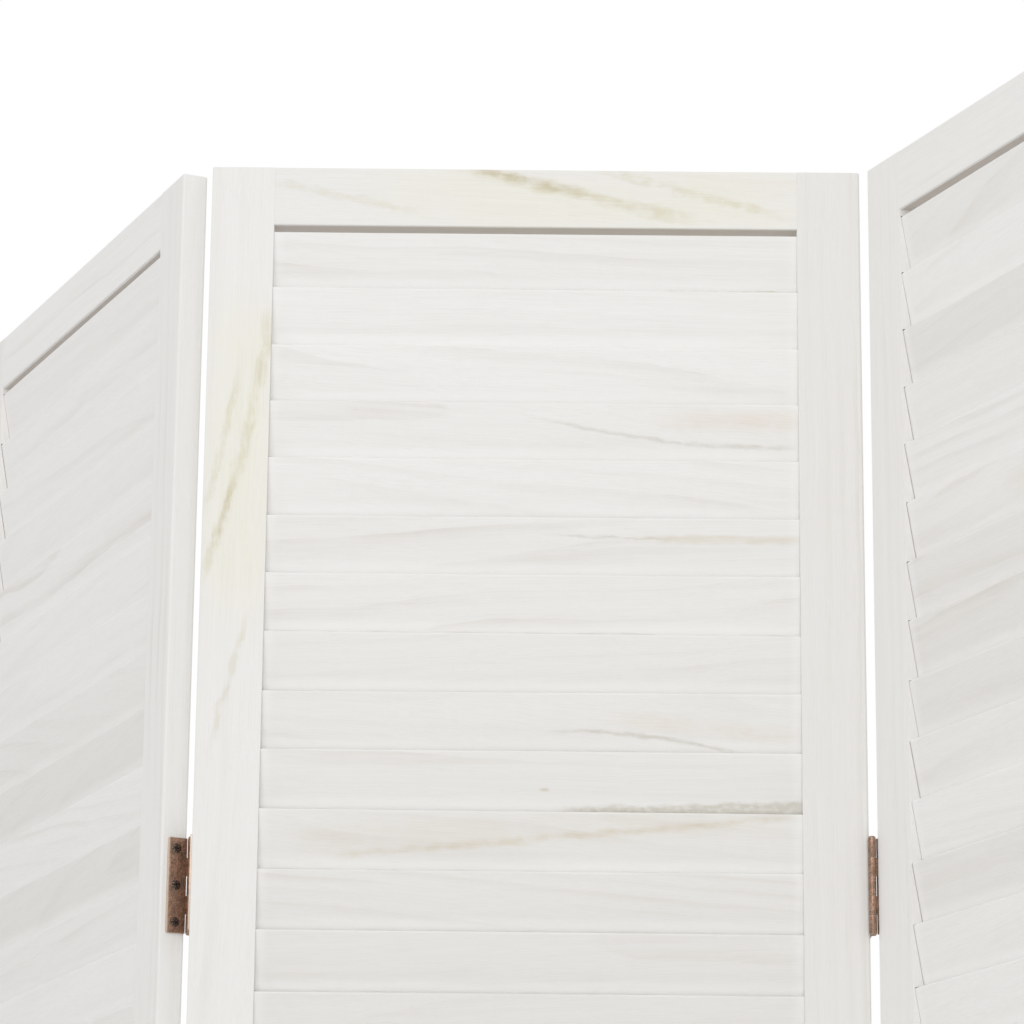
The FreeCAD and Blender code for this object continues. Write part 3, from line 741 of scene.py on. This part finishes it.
joinery = {
    "outerRound": mm(1.3),
    "innerRound": mm(0.15),
    "railRound": mm(0.6),
    "endRound": mm(0.8),
    "roundSteps": 4,
    "boreSteps": 20,
    "dowelRadius": mm(3.05),
    "dowelDepth": mm(15.1),
    "dowelSpacing": mm(16),
    "pilotRadius": mm(1.65),
    "pilotDepth": mm(15),
    "screwSpacing": mm(19.3),
    "screwReach": mm(7.9),
}
hingeHeights = sorted({
    round(sum(corner.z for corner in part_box(name)) / 2, 5)
    for name in frame["nodes"] if name.startswith("left_hinge") and name.endswith("side_leaf")})
railHeights = [(rail[0].z + rail[1].z) / 2 for rail in (bottomRail, topRail)]


def cutFrameTree():   # slots for the slats, then any rows of bored holes, cut from the blank
    tree, b, given = newTree("frameJoinery", slatInputs + [
        ("Upright", "Bool", True), ("Inner Face", "Float", 0.0), ("Bore Cutters", "Object", None),
        ("Slot Ease", "Float", louvre["slotEase"]), ("Slot Depth", "Float", louvre["slotDepth"]),
        ("Middle", "Float", 0.0), ("Outward", "Float", 1.0),
        ("Pith", "Vector", (0, 0, 0)), ("Lean", "Float", 0.0),
        ("Tone", "Float", 0.0), ("Worn", "Float", 0.0)])
    slotWidth = given["Width"] + given["Slot Ease"] * 2.0
    slotThickness = given["Thickness"] + given["Slot Ease"] * 2.0
    cutter = board(b, slotWidth, slotThickness, given["Slot Depth"] * 2.0, given["Round"], 2, 2)
    spots, turn = slatSpots(b, given)
    placed = b.node("GeometryNodeSetPosition", values={
        "Geometry": spots, "Offset": b.vector(given["Inner Face"], 0.0, 0.0)})
    slots = b.node("GeometryNodeInstanceOnPoints", values={
        "Points": placed["Geometry"], "Instance": cutter, "Rotation": turn,
        "Scale": b.vector(1.0, scatter(b, 0.97, 1.05, given["Seed"] + 12.0), 1.0)})
    slotMesh = b.node("GeometryNodeRealizeInstances", values={"Geometry": slots["Instances"]})["Geometry"]
    bores = b.node("GeometryNodeObjectInfo", {"transform_space": "ORIGINAL"}, {
        "Object": given["Bore Cutters"]})
    upright = given["Upright"]
    kept = b.node("GeometryNodeSwitch", {"input_type": "GEOMETRY"}, {
        "Switch": upright, "True": slotMesh})["Output"]   # a rail has no slots
    cut = b.node("GeometryNodeMeshBoolean", {"operation": "DIFFERENCE", "solver": "EXACT"}, {
        "Mesh 1": given["Geometry"]})
    b.tree.links.new(kept.socket, cut.made.inputs["Mesh 2"])
    b.tree.links.new(bores["Geometry"].socket, cut.made.inputs["Mesh 2"])
    x, y, z = b.split(b.node("GeometryNodeInputPosition")["Position"])

    def either(onUpright, onLevel):
        return b.node("GeometryNodeSwitch", {"input_type": "FLOAT"}, {
            "Switch": upright, "True": onUpright, "False": onLevel})["Output"]

    along, across = either(z, x), either(x, z) - given["Middle"]
    lean = given["Lean"]
    pithX, pithY, pithZ = b.split(given["Pith"])
    trunk = b.vector(along + pithX, across + lean * along + pithY, y + pithZ)
    real = b.node("GeometryNodeRealizeInstances", values={"Geometry": cut["Mesh"]})["Geometry"]
    real = store(b, real, "log", trunk)
    real = store(b, real, "board", b.vector(along, across * given["Outward"], y))
    real = store(b, real, "tone", given["Tone"], "FLOAT")
    real = store(b, real, "worn", given["Worn"], "FLOAT")
    endTree(b, real, given["Material"])
    return tree


def rods(name, radius, depth, mouths, direction):   # cutters for bored holes: a rod along X into each mouth
    proud = depth * 0.2
    rod = lathe("rod", [(0, -depth), (radius, -depth), (radius, proud), (0, proud)], joinery["boreSteps"])
    rod.data.transform(Matrix.Rotation(math.pi / 2 * (1 if direction < 0 else -1), 4, "Y"))
    parts = []
    for mouth in mouths:
        part = newObject("rodCopy", rod.data.copy())
        part.data.transform(Matrix.Translation(mouth))
        parts.append(part)
    bpy.data.objects.remove(rod)
    return joined(name, parts)


frameTree = cutFrameTree()
grainChance = random.Random(54)
chosenBoards = {   # boards listed one by one: place in the trunk, lean of the grain, tone, wear and wood
    ("centre", "top"): {
        "pith": (3.0, 0.004, 0.060), "lean": 0.05, "tone": 0.4, "worn": 0.2, "wood": stainedRail},
    ("centre", "left"): {
        "pith": (5.0, 0.010, 0.060), "lean": -0.02, "tone": 0.3, "worn": 0.2, "wood": stileWood},
    ("centre", "right"): {
        "pith": (9.0, 0.060, 0.050), "lean": 0.004, "tone": 0.8, "worn": 0.1, "wood": frameWood},
}


def boardChoice(panel, piece):
    drawn = {
        "pith": tuple(grainChance.uniform(*span) for span in ((-40, 40), (-0.03, 0.03), (0.02, 0.07))),
        "lean": grainChance.uniform(-0.02, 0.02),
        "tone": grainChance.uniform(0.0, 0.35),
        "worn": grainChance.uniform(0.1, 0.5),
        "wood": railWood if piece in ("top", "bottom") else frameWood,
    }
    return chosenBoards.get((panel, piece), drawn)


def bar(name, low, high, upright, corners, endRound):   # a long board, each edge with its own easing
    low, high = Vector(low), Vector(high)
    size, middle = high - low, (high + low) / 2
    wide, deep, length = (size.x, size.y, size.z) if upright else (size.z, size.y, size.x)
    steps = joinery["roundSteps"]
    stations = [(0, -length / 2)]
    if endRound:
        angles = [k * math.pi / 6 for k in range(4)]   # a quarter turn in three steps
        stations = [(endRound * (1 - math.sin(angle)), -length / 2 + endRound * (1 - math.cos(angle)))
                    for angle in angles]
    stations += [(inset, -height) for inset, height in reversed(stations)]
    points, faces = [], []
    for inset, height in stations:
        for corner, (sideX, sideY) in enumerate(((1, 1), (-1, 1), (-1, -1), (1, -1))):
            ease = max(corners[corner] - inset, mm(0.05))
            for k in range(steps + 1):
                angle = math.pi / 2 * (corner + k / steps)
                across = sideX * (wide / 2 - inset - ease) + ease * math.cos(angle)
                inward = sideY * (deep / 2 - inset - ease) + ease * math.sin(angle)
                points.append((across, inward, height) if upright else (height, inward, across))
    count = 4 * (steps + 1)
    for level in range(len(stations) - 1):
        for k in range(count):
            following = (k + 1) % count
            faces.append((level * count + k, level * count + following,
                          (level + 1) * count + following, (level + 1) * count + k))
    faces.append(tuple(reversed(range(count))))
    faces.append(tuple(range((len(stations) - 1) * count, len(stations) * count)))
    made = meshFrom(name, [Vector(point) + middle for point in points], faces)
    shape = bmesh.new()
    shape.from_mesh(made.data)
    bmesh.ops.recalc_face_normals(shape, faces=shape.faces)
    shape.to_mesh(made.data)
    shape.free()
    return made


def makeFramePiece(panel, piece, low, high, bores, innerFace, upright):
    outer, inner, plain = joinery["outerRound"], joinery["innerRound"], joinery["railRound"]
    if upright:   # corners at +X +Y, -X +Y, -X -Y, +X -Y
        corners = [inner, outer, outer, inner] if innerFace < 0 else [outer, inner, inner, outer]
    else:   # corners at the top back, bottom back, bottom front, top front
        edge = outer if piece == "top" else plain
        corners = [edge, plain, plain, edge]
    blank = bar(f"{panel}{piece.capitalize()}{'Stile' if upright else 'Rail'}", low, high, upright, corners,
                joinery["endRound"] if upright else 0)
    cutters = joined("boreCutters", [rods("bores", *row) for row in bores])
    choice = boardChoice(panel, piece)
    withNodes(blank, frameTree, {
        **louvreValues(panel), "Material": choice["wood"], "Upright": upright, "Inner Face": innerFace,
        "Bore Cutters": cutters, "Pith": choice["pith"], "Lean": choice["lean"], "Tone": choice["tone"],
        "Worn": choice["worn"],
        "Middle": (low[0] + high[0]) / 2 if upright else (low[2] + high[2]) / 2,
        "Outward": -1.0 if piece in ("left", "bottom") else 1.0})
    settle(blank, panelPlace(panel))
    bpy.data.objects.remove(cutters)
    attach(blank, f"{panel}_panel")
    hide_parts(f"{panel}_panel_{piece}_{'stile' if upright else 'rail'}")


def dowelMouths(x, heights):
    return [(x, 0, height + drop * joinery["dowelSpacing"] / 2) for height in heights for drop in (-1, 1)]


def pilotMouths(x, y):
    return [(x, y, height + k * joinery["screwSpacing"]) for height in hingeHeights for k in (-1, 0, 1)]


half, back = panelWidth / 2, thickness / 2
dowelBore = (joinery["dowelRadius"], joinery["dowelDepth"])
pilotBore = (joinery["pilotRadius"], joinery["pilotDepth"])
for panel in panels:
    for piece, side in sides.items():
        inner, outer = side * opening / 2, side * half
        bores = [(*dowelBore, dowelMouths(inner, railHeights), side)]
        hinged = piece if panel == "centre" else (panel if panel != piece else None)
        if hinged:
            axisY = joints[hinged]["pos_m"][1]
            screwY = axisY - math.copysign(joinery["screwReach"], axisY)
            bores.append((*pilotBore, pilotMouths(outer, screwY), -side))
        low = (min(inner, outer), -back, 0)
        high = (max(inner, outer), back, panelHeight)
        makeFramePiece(panel, piece, low, high, bores, inner, True)
    for piece, rail, height in (("bottom", bottomRail, railHeights[0]), ("top", topRail, railHeights[1])):
        bores = [(*dowelBore, dowelMouths(side * opening / 2, [height]), -side) for side in (-1, 1)]
        low = (-opening / 2, -back, rail[0].z)
        high = (opening / 2, back, rail[1].z)
        makeFramePiece(panel, piece, low, high, bores, 0.0, False)
    print(f"{panel} panel framed")


# hinges: bronze leaves with rolled knuckles, their pins and the screws

hinge = {
    "length": mm(50),
    "reach": mm(12.7),
    "plate": mm(1.1),
    "faceGap": mm(1.3),
    "notch": mm(2.3),
    "tab": mm(1.3),
    "cornerRound": mm(0.8),
    "edgeRound": mm(0.16),
    "barrel": mm(2.0),
    "bore": mm(1.07),
    "pin": mm(1.0),
    "knuckles": 5,
    "knuckleEase": mm(0.1),
    "wobble": mm(0.05),
    "holeEase": mm(0.1),
    "sinkEase": mm(0.05),
    "roundSteps": 32,
}
knuckleSize = hinge["length"] / hinge["knuckles"]
screw = {
    "head": mm(2.65),
    "headDepth": mm(1.25),
    "shank": mm(1.55),
    "length": mm(14.9),
    "recess": mm(0.62),
    "recessReach": mm(1.55),
    "recessDepth": mm(0.75),
    "perLeaf": 3,
    "roundSteps": 28,
}


def bronzeMaterial(name, look):
    material = bpy.data.materials.new(name)
    material.use_nodes = True
    material.node_tree.nodes.clear()
    b = Bench(material.node_tree)
    place = b.node("ShaderNodeAttribute", {"attribute_name": "metal"})["Vector"]
    reach = b.split(place)[1]
    cloudy = b.noise(place, 320.0, 4.0, 0.6)
    speckle = b.noise(place, 1500.0, 3.0, 0.55)
    brushed = b.noise(place, 1.0, 3.0, 0.5, (2600, 2600, 260))
    patina = b.fade(cloudy, 0.40, 0.62)
    rubbed = b.clamp(b.fade(speckle, 0.52, 0.72) * 0.6 + b.fade(brushed, 0.50, 0.75) * 0.5)
    colour = b.mix(patina, look["copper"], look["brown"])
    colour = b.mix(b.fade(speckle, 0.55, 0.38) * 0.6, colour, look["dark"])
    colour = b.mix(rubbed * look["rubbed"], colour, look["bright"])
    # paler towards each leaf's outer edge, and where two knuckles meet
    colour = b.mix(b.fade(reach, mm(11.3), mm(12.5)) * look["edgeWear"], colour, look["pale"])
    ringPlace = (b.split(place)[2] / look["ring"]).math("FRACT") - 0.5   # nought where two knuckles meet
    ringEnds = b.fade(ringPlace.math("ABSOLUTE"), 0.055, 0.02) * b.fade(reach, mm(2.3), mm(1.9))
    colour = b.mix(ringEnds * look["edgeWear"] * 0.45, colour, look["pale"])
    relief = cloudy * 0.6 + speckle * 0.4 + brushed * 0.3
    bump = b.node("ShaderNodeBump", values={
        "Strength": 0.45, "Distance": mm(0.12), "Height": relief})["Normal"]
    rough = b.clamp(look["rough"] + (speckle - 0.5) * 0.35 + patina * 0.1 - rubbed * 0.12, 0.12, 0.9)
    surface = b.node("ShaderNodeBsdfPrincipled", values={
        "Base Color": colour, "Metallic": look["metal"], "Roughness": rough, "Normal": bump})
    b.node("ShaderNodeOutputMaterial", values={"Surface": surface["BSDF"]})
    return material


bronzeLook = {
    "copper": (0.45, 0.275, 0.192, 1),
    "brown": (0.275, 0.175, 0.125, 1),
    "dark": (0.12, 0.078, 0.058, 1),
    "bright": (0.64, 0.46, 0.345, 1),
    "pale": (0.72, 0.58, 0.47, 1),
    "rubbed": 0.55,
    "edgeWear": 0.85,
    "rough": 0.38,
    "metal": 0.8,
    "ring": knuckleSize,
}
bronze = bronzeMaterial("antiqueBronze", bronzeLook)
darkBronze = bronzeMaterial("darkBronze", {
    **bronzeLook,
    "copper": (0.13, 0.09, 0.07, 1),
    "brown": (0.07, 0.05, 0.04, 1),
    "dark": (0.03, 0.022, 0.018, 1),
    "bright": (0.70, 0.58, 0.50, 1),
    "rubbed": 0.75,
    "edgeWear": 0.0,
    "rough": 0.26,
})


def markMetal(target):   # the point's place in the hinge's own frame, which the finish is laid by
    mesh = target.data
    marks = mesh.attributes.new("metal", "FLOAT_VECTOR", "POINT").data
    for mark, vert in zip(marks, mesh.vertices):
        mark.vector = vert.co


def carve(target, cutters):
    modifier = target.modifiers.new("carve", "BOOLEAN")
    modifier.operation = "DIFFERENCE"
    modifier.solver = "EXACT"
    modifier.object = cutters
    settle(target)
    bpy.data.objects.remove(cutters)


def hingePlate(name, direction, ownKnuckles):   # a leaf's plate on the +X or -X side of the axis plane
    low = -hinge["length"] / 2
    inner, outer = [], []
    for k in range(hinge["knuckles"]):
        reach = hinge["tab"] if k in ownKnuckles else hinge["notch"]
        ease = 0 if k in ownKnuckles else mm(0.05)
        bottom = low + k * knuckleSize - (ease if k else 0)
        top = low + (k + 1) * knuckleSize + (ease if k < hinge["knuckles"] - 1 else 0)
        if k in ownKnuckles:
            bottom += hinge["knuckleEase"] if k else 0
            top -= hinge["knuckleEase"] if k < hinge["knuckles"] - 1 else 0
        inner += [(reach, bottom), (reach, top)]
    for k in range(1, len(inner) - 1, 2):   # one height for both sides of each step
        height = inner[k][1] if inner[k][0] < inner[k + 1][0] else inner[k + 1][1]
        inner[k], inner[k + 1] = (inner[k][0], height), (inner[k + 1][0], height)
    corner = hinge["cornerRound"]
    reach = hinge["reach"] - corner
    for height, start in ((-low - corner, 90), (low + corner, 0)):   # the two rounded corners
        for k in range(5):
            angle = math.radians(start - 90 * k / 4)
            outer.append((reach + corner * math.cos(angle), height + corner * math.sin(angle)))
    outline = inner + outer
    plate = bmesh.new()
    back = direction * hinge["faceGap"]
    front = direction * (hinge["faceGap"] - hinge["plate"])
    verts = [plate.verts.new((back, y, z)) for y, z in outline]
    face = plate.faces.new(verts)
    grown = bmesh.ops.extrude_face_region(plate, geom=[face])
    for vert in (item for item in grown["geom"] if isinstance(item, bmesh.types.BMVert)):
        vert.co.x = front
    bmesh.ops.recalc_face_normals(plate, faces=plate.faces)
    rims = [edge for edge in plate.edges if abs(edge.verts[0].co.x - edge.verts[1].co.x) < 1e-7]
    bmesh.ops.bevel(plate, geom=rims, offset=hinge["edgeRound"], segments=2, profile=0.5, affect="EDGES")
    mesh = bpy.data.meshes.new(name)
    plate.to_mesh(mesh)
    plate.free()
    made = newObject(name, mesh)
    hole, mouth = screw["shank"] + hinge["holeEase"], screw["head"] + hinge["sinkEase"]
    outline = [(0, -mm(3)), (hole, -mm(3)), (hole, -screw["headDepth"]), (mouth, -mm(0.05)),
               (mouth, mm(0.4)), (0, mm(0.4))]
    aim = Matrix.Rotation(-direction * math.pi / 2, 4, "Y")
    cutters = []
    for k in (-1, 0, 1):
        sink = lathe("sink", outline, hinge["roundSteps"])
        spot = Matrix.Translation((front, joinery["screwReach"], k * joinery["screwSpacing"]))
        sink.data.transform(spot @ aim)
        cutters.append(sink)
    carve(made, joined("sinks", cutters))
    return made


def knuckleTree():   # rings threaded along the axis, each pressed a little out of line
    tree, b, given = newTree("knuckles", [
        ("Count", "Int", 3), ("Spacing", "Float", mm(20)), ("First Height", "Float", 0.0),
        ("Wobble", "Float", hinge["wobble"]), ("Seed", "Int", 1), ("Material", "Material", None)])
    line = b.node("GeometryNodeMeshLine", {"mode": "OFFSET"}, {
        "Count": given["Count"], "Start Location": b.vector(0.0, 0.0, given["First Height"]),
        "Offset": b.vector(0.0, 0.0, given["Spacing"])})
    seed, wobble = given["Seed"], given["Wobble"]
    shift = b.vector(
        scatter(b, 0.0 - wobble, wobble, seed), scatter(b, 0.0 - wobble, wobble, seed + 1.0), 0.0)
    moved = b.node("GeometryNodeSetPosition", values={"Geometry": line["Mesh"], "Offset": shift})
    turn = b.vector(0.0, 0.0, scatter(b, 0.0, 6.28, seed + 2.0))
    laid = b.node("GeometryNodeInstanceOnPoints", values={
        "Points": moved["Geometry"], "Instance": given["Geometry"], "Rotation": turn})
    real = b.node("GeometryNodeRealizeInstances", values={"Geometry": laid["Instances"]})
    endTree(b, real["Geometry"], given["Material"])
    return tree


def screwTree():   # rows of screws: so many to a leaf, and so many leaves up the panel
    tree, b, given = newTree("screwRows", [
        ("Leaves", "Int", 3), ("Leaf Spacing", "Float", 0.4), ("First Leaf", "Float", 0.4),
        ("Per Leaf", "Int", 3), ("Spacing", "Float", joinery["screwSpacing"]),
        ("Reach", "Float", joinery["screwReach"]), ("Seed", "Int", 1), ("Material", "Material", None)])
    leaves = b.node("GeometryNodeMeshLine", {"mode": "OFFSET"}, {
        "Count": given["Leaves"], "Start Location": b.vector(0.0, 0.0, given["First Leaf"]),
        "Offset": b.vector(0.0, 0.0, given["Leaf Spacing"])})
    row = b.node("GeometryNodeMeshLine", {"mode": "OFFSET"}, {
        "Count": given["Per Leaf"], "Offset": b.vector(0.0, 0.0, given["Spacing"]),
        "Start Location": b.vector(0.0, given["Reach"], given["Spacing"] * -1.0)})
    rows = b.node("GeometryNodeInstanceOnPoints", values={
        "Points": leaves["Mesh"], "Instance": row["Mesh"]})
    spots = b.node("GeometryNodeRealizeInstances", values={"Geometry": rows["Instances"]})
    turn = b.vector(scatter(b, 0.0, 6.28, given["Seed"]), 0.0, 0.0)
    laid = b.node("GeometryNodeInstanceOnPoints", values={
        "Points": spots["Geometry"], "Instance": given["Geometry"], "Rotation": turn})
    real = b.node("GeometryNodeRealizeInstances", values={"Geometry": laid["Instances"]})
    endTree(b, real["Geometry"], given["Material"])
    return tree


def oneScrew(name, direction):   # countersunk, with a cross recess; its head faces the axis plane
    body = lathe(name, [
        (0, -screw["length"]), (mm(0.4), -screw["length"] + mm(0.6)), (screw["shank"] * 0.92, -mm(11.6)),
        (screw["shank"], -mm(11)), (screw["shank"], -screw["headDepth"]),
        (screw["head"] - mm(0.08), -mm(0.14)), (screw["head"], -mm(0.05)),
        (screw["head"] - mm(0.12), 0), (mm(1.2), mm(0.08)), (0, mm(0.1))], screw["roundSteps"])
    arms = []
    for turn in (0, math.pi / 2):
        arm = softBlock("arm", (-screw["recessReach"], -screw["recess"] / 2, -screw["recessDepth"]),
                        (screw["recessReach"], screw["recess"] / 2, mm(0.6)), mm(0.05))
        for vert in arm.data.vertices:   # the recess narrows as it deepens
            if vert.co.z < 0:
                vert.co.x *= 0.55
                vert.co.y *= 0.7
        arm.data.transform(Matrix.Rotation(turn, 4, "Z"))
        arms.append(arm)
    for arm in arms:
        carve(body, arm)
    body.data.transform(Matrix.Rotation(-direction * math.pi / 2, 4, "Y"))
    markMetal(body)
    return body


knucklesTree, screwsTree = knuckleTree(), screwTree()
levels = ("lower", "middle", "upper")
leafSpacing = hingeHeights[1] - hingeHeights[0]
ringTop = [   # radius and height, from the bore over the rim to the barrel
    (hinge["bore"], knuckleSize / 2 - hinge["knuckleEase"] / 2),
    (hinge["barrel"] - mm(0.25), knuckleSize / 2 - hinge["knuckleEase"] / 2),
    (hinge["barrel"] - mm(0.04), knuckleSize / 2 - mm(0.2)),
    (hinge["barrel"], knuckleSize / 2 - mm(0.5)),
]
ringOutline = [(radius, -height) for radius, height in ringTop] + ringTop[::-1]
ringOutline.append(ringOutline[0])
pinTip = hinge["length"] / 2
pinFoot = [   # radius, and height beyond the knuckles
    (0, mm(0.75)), (mm(1.3), mm(0.7)), (mm(1.65), mm(0.45)), (mm(1.68), mm(0.02)), (hinge["pin"], mm(0.02))]
pinHead = [
    (hinge["pin"], mm(0.02)), (mm(1.9), mm(0.02)), (mm(1.92), mm(0.35)), (mm(1.7), mm(0.85)),
    (mm(1.1), mm(1.18)), (0, mm(1.28))]
pinOutline = [(radius, -pinTip - beyond) for radius, beyond in pinFoot]
pinOutline += [(radius, pinTip + beyond) for radius, beyond in pinHead]
screwSets = {panel: [] for panel in panels}
for side in ("left", "right"):
    for leaf, body, direction, own in (("centre", "centre", -1, (0, 2, 4)), ("side", side, 1, (1, 3))):
        place = leafPlace(side, leaf == "side")
        for number, level in enumerate(levels):
            ring = lathe("ring", ringOutline, hinge["roundSteps"])
            withNodes(ring, knucklesTree, {
                "Count": len(own), "Spacing": 2 * knuckleSize, "First Height": (own[0] - 2) * knuckleSize,
                "Seed": 7 + number + 10 * own[0] + (3 if side == "left" else 0), "Material": bronze})
            settle(ring)
            plate = hingePlate("plate", direction, own)
            plate.data.materials.append(bronze)
            whole = joined(f"{side}Hinge{level.capitalize()}{leaf.capitalize()}Leaf", [plate, ring])
            markMetal(whole)
            smooth(whole, 32)
            whole.data.transform(place @ Matrix.Translation((0, 0, hingeHeights[number])))
            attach(whole, f"{body}_panel")
            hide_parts(f"{side}_hinge_{level}_{leaf}_leaf")
        screws = oneScrew("screws", direction)
        screws.data.transform(Matrix.Translation((
            direction * (hinge["faceGap"] - hinge["plate"] + mm(0.1)), 0, 0)))
        withNodes(screws, screwsTree, {
            "Leaves": len(levels), "Leaf Spacing": leafSpacing, "First Leaf": hingeHeights[0],
            "Per Leaf": screw["perLeaf"], "Seed": 31 + direction + (5 if side == "left" else 0),
            "Material": darkBronze})
        settle(screws, place, 32)
        screwSets[body].append(screws)
    for number, level in enumerate(levels):
        pin = lathe(f"{side}Hinge{level.capitalize()}Pin", pinOutline, hinge["roundSteps"])
        markMetal(pin)
        pin.data.materials.append(bronze)
        smooth(pin, 40)
        pin.data.transform(leafPlace(side, False) @ Matrix.Translation((0, 0, hingeHeights[number])))
        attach(pin, "centre_panel")
        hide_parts(f"{side}_hinge_{level}_pin")
for panel, sets in screwSets.items():
    screws = joined(f"{panel}HingeScrews", sets)
    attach(screws, f"{panel}_panel")
    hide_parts(f"{panel}_panel_hinge_screws")
print("hinges and screws fitted")


# dowels: hidden in the joints of the frames, plain beech

dowelLook = {
    "pale": (0.74, 0.60, 0.43, 1),
    "brown": (0.60, 0.46, 0.31, 1),
}
beech = bpy.data.materials.new("beech")
beech.use_nodes = True
beech.node_tree.nodes.clear()
d = Bench(beech.node_tree)
spot = d.node("ShaderNodeTexCoord")["Object"]
flecks = d.noise(spot, 1.0, 3.0, 0.6, (60, 900, 900))
beechSurface = d.node("ShaderNodeBsdfPrincipled", values={
    "Base Color": d.mix(d.fade(flecks, 0.4, 0.65), dowelLook["pale"], dowelLook["brown"]),
    "Roughness": d.clamp(flecks * 0.3 + 0.5)})
d.node("ShaderNodeOutputMaterial", values={"Surface": beechSurface["BSDF"]})
for panel in panels:
    dowels = frame["nodes"][f"{panel}_panel_dowels"]
    dowels.data.materials.clear()
    dowels.data.materials.append(beech)


# light, floor and camera

studio = {
    "roomLight": 0.80,
    "backdrop": 1.0,
    "keyPower": 29.0,
    "keyPlace": (-0.7, -3.2, 2.8),
    "keyAim": (0, 0, 1.2),
    "keySize": 2.4,
    "floor": (0.84, 0.84, 0.84, 1),
    "floorRough": 0.8,
    "floorReach": 6,
}
scene.view_settings.view_transform = "Standard"

world = bpy.data.worlds.new("studio")   # the sweep is pure white, and the room's light a little below it
scene.world = world
world.use_nodes = True
world.node_tree.nodes.clear()
w = Bench(world.node_tree)
sweep = w.node("ShaderNodeLightPath")["Is Camera Ray"]
light = sweep * (studio["backdrop"] - studio["roomLight"]) + studio["roomLight"]
glow = w.node("ShaderNodeBackground", values={"Color": (1, 1, 1, 1), "Strength": light})
w.node("ShaderNodeOutputWorld", values={"Surface": glow["Background"]})

reach = studio["floorReach"]
floor = meshFrom("floor", [(-reach, -reach, 0), (reach, -reach, 0), (reach, reach, 0), (-reach, reach, 0)],
                 [(0, 1, 2, 3)])
floorPaint = bpy.data.materials.new("floorPaint")
floorPaint.use_nodes = True
floorSockets = floorPaint.node_tree.nodes["Principled BSDF"].inputs
floorSockets["Base Color"].default_value = studio["floor"]
floorSockets["Roughness"].default_value = studio["floorRough"]
floor.data.materials.append(floorPaint)


def areaLight(name, place, target, size, power):
    lamp = bpy.data.lights.new(name, "AREA")
    lamp.size = size
    lamp.energy = power
    made = newObject(name, lamp)
    made.location = place
    made.rotation_euler = (Vector(target) - Vector(place)).to_track_quat("-Z", "Y").to_euler()


areaLight("keyLight", studio["keyPlace"], studio["keyAim"], studio["keySize"], studio["keyPower"])

view = {
    "place": (-0.0111, -2.0449, 0.8783),
    "pitch": 15.561,
    "yaw": 0.0,
    "roll": 0.551,
    "lens": 140.87,
    "shiftUp": 0.02,
}
lens = bpy.data.cameras.new("camera")
lens.lens = view["lens"]
lens.shift_y = view["shiftUp"]
camera = newObject("camera", lens)
camera.location = view["place"]
heading = Euler((math.radians(90 + view["pitch"]), 0, -math.radians(view["yaw"]))).to_matrix()
camera.rotation_euler = (heading @ Matrix.Rotation(math.radians(view["roll"]), 3, "Z")).to_euler()
scene.camera = camera
print("studio lit")
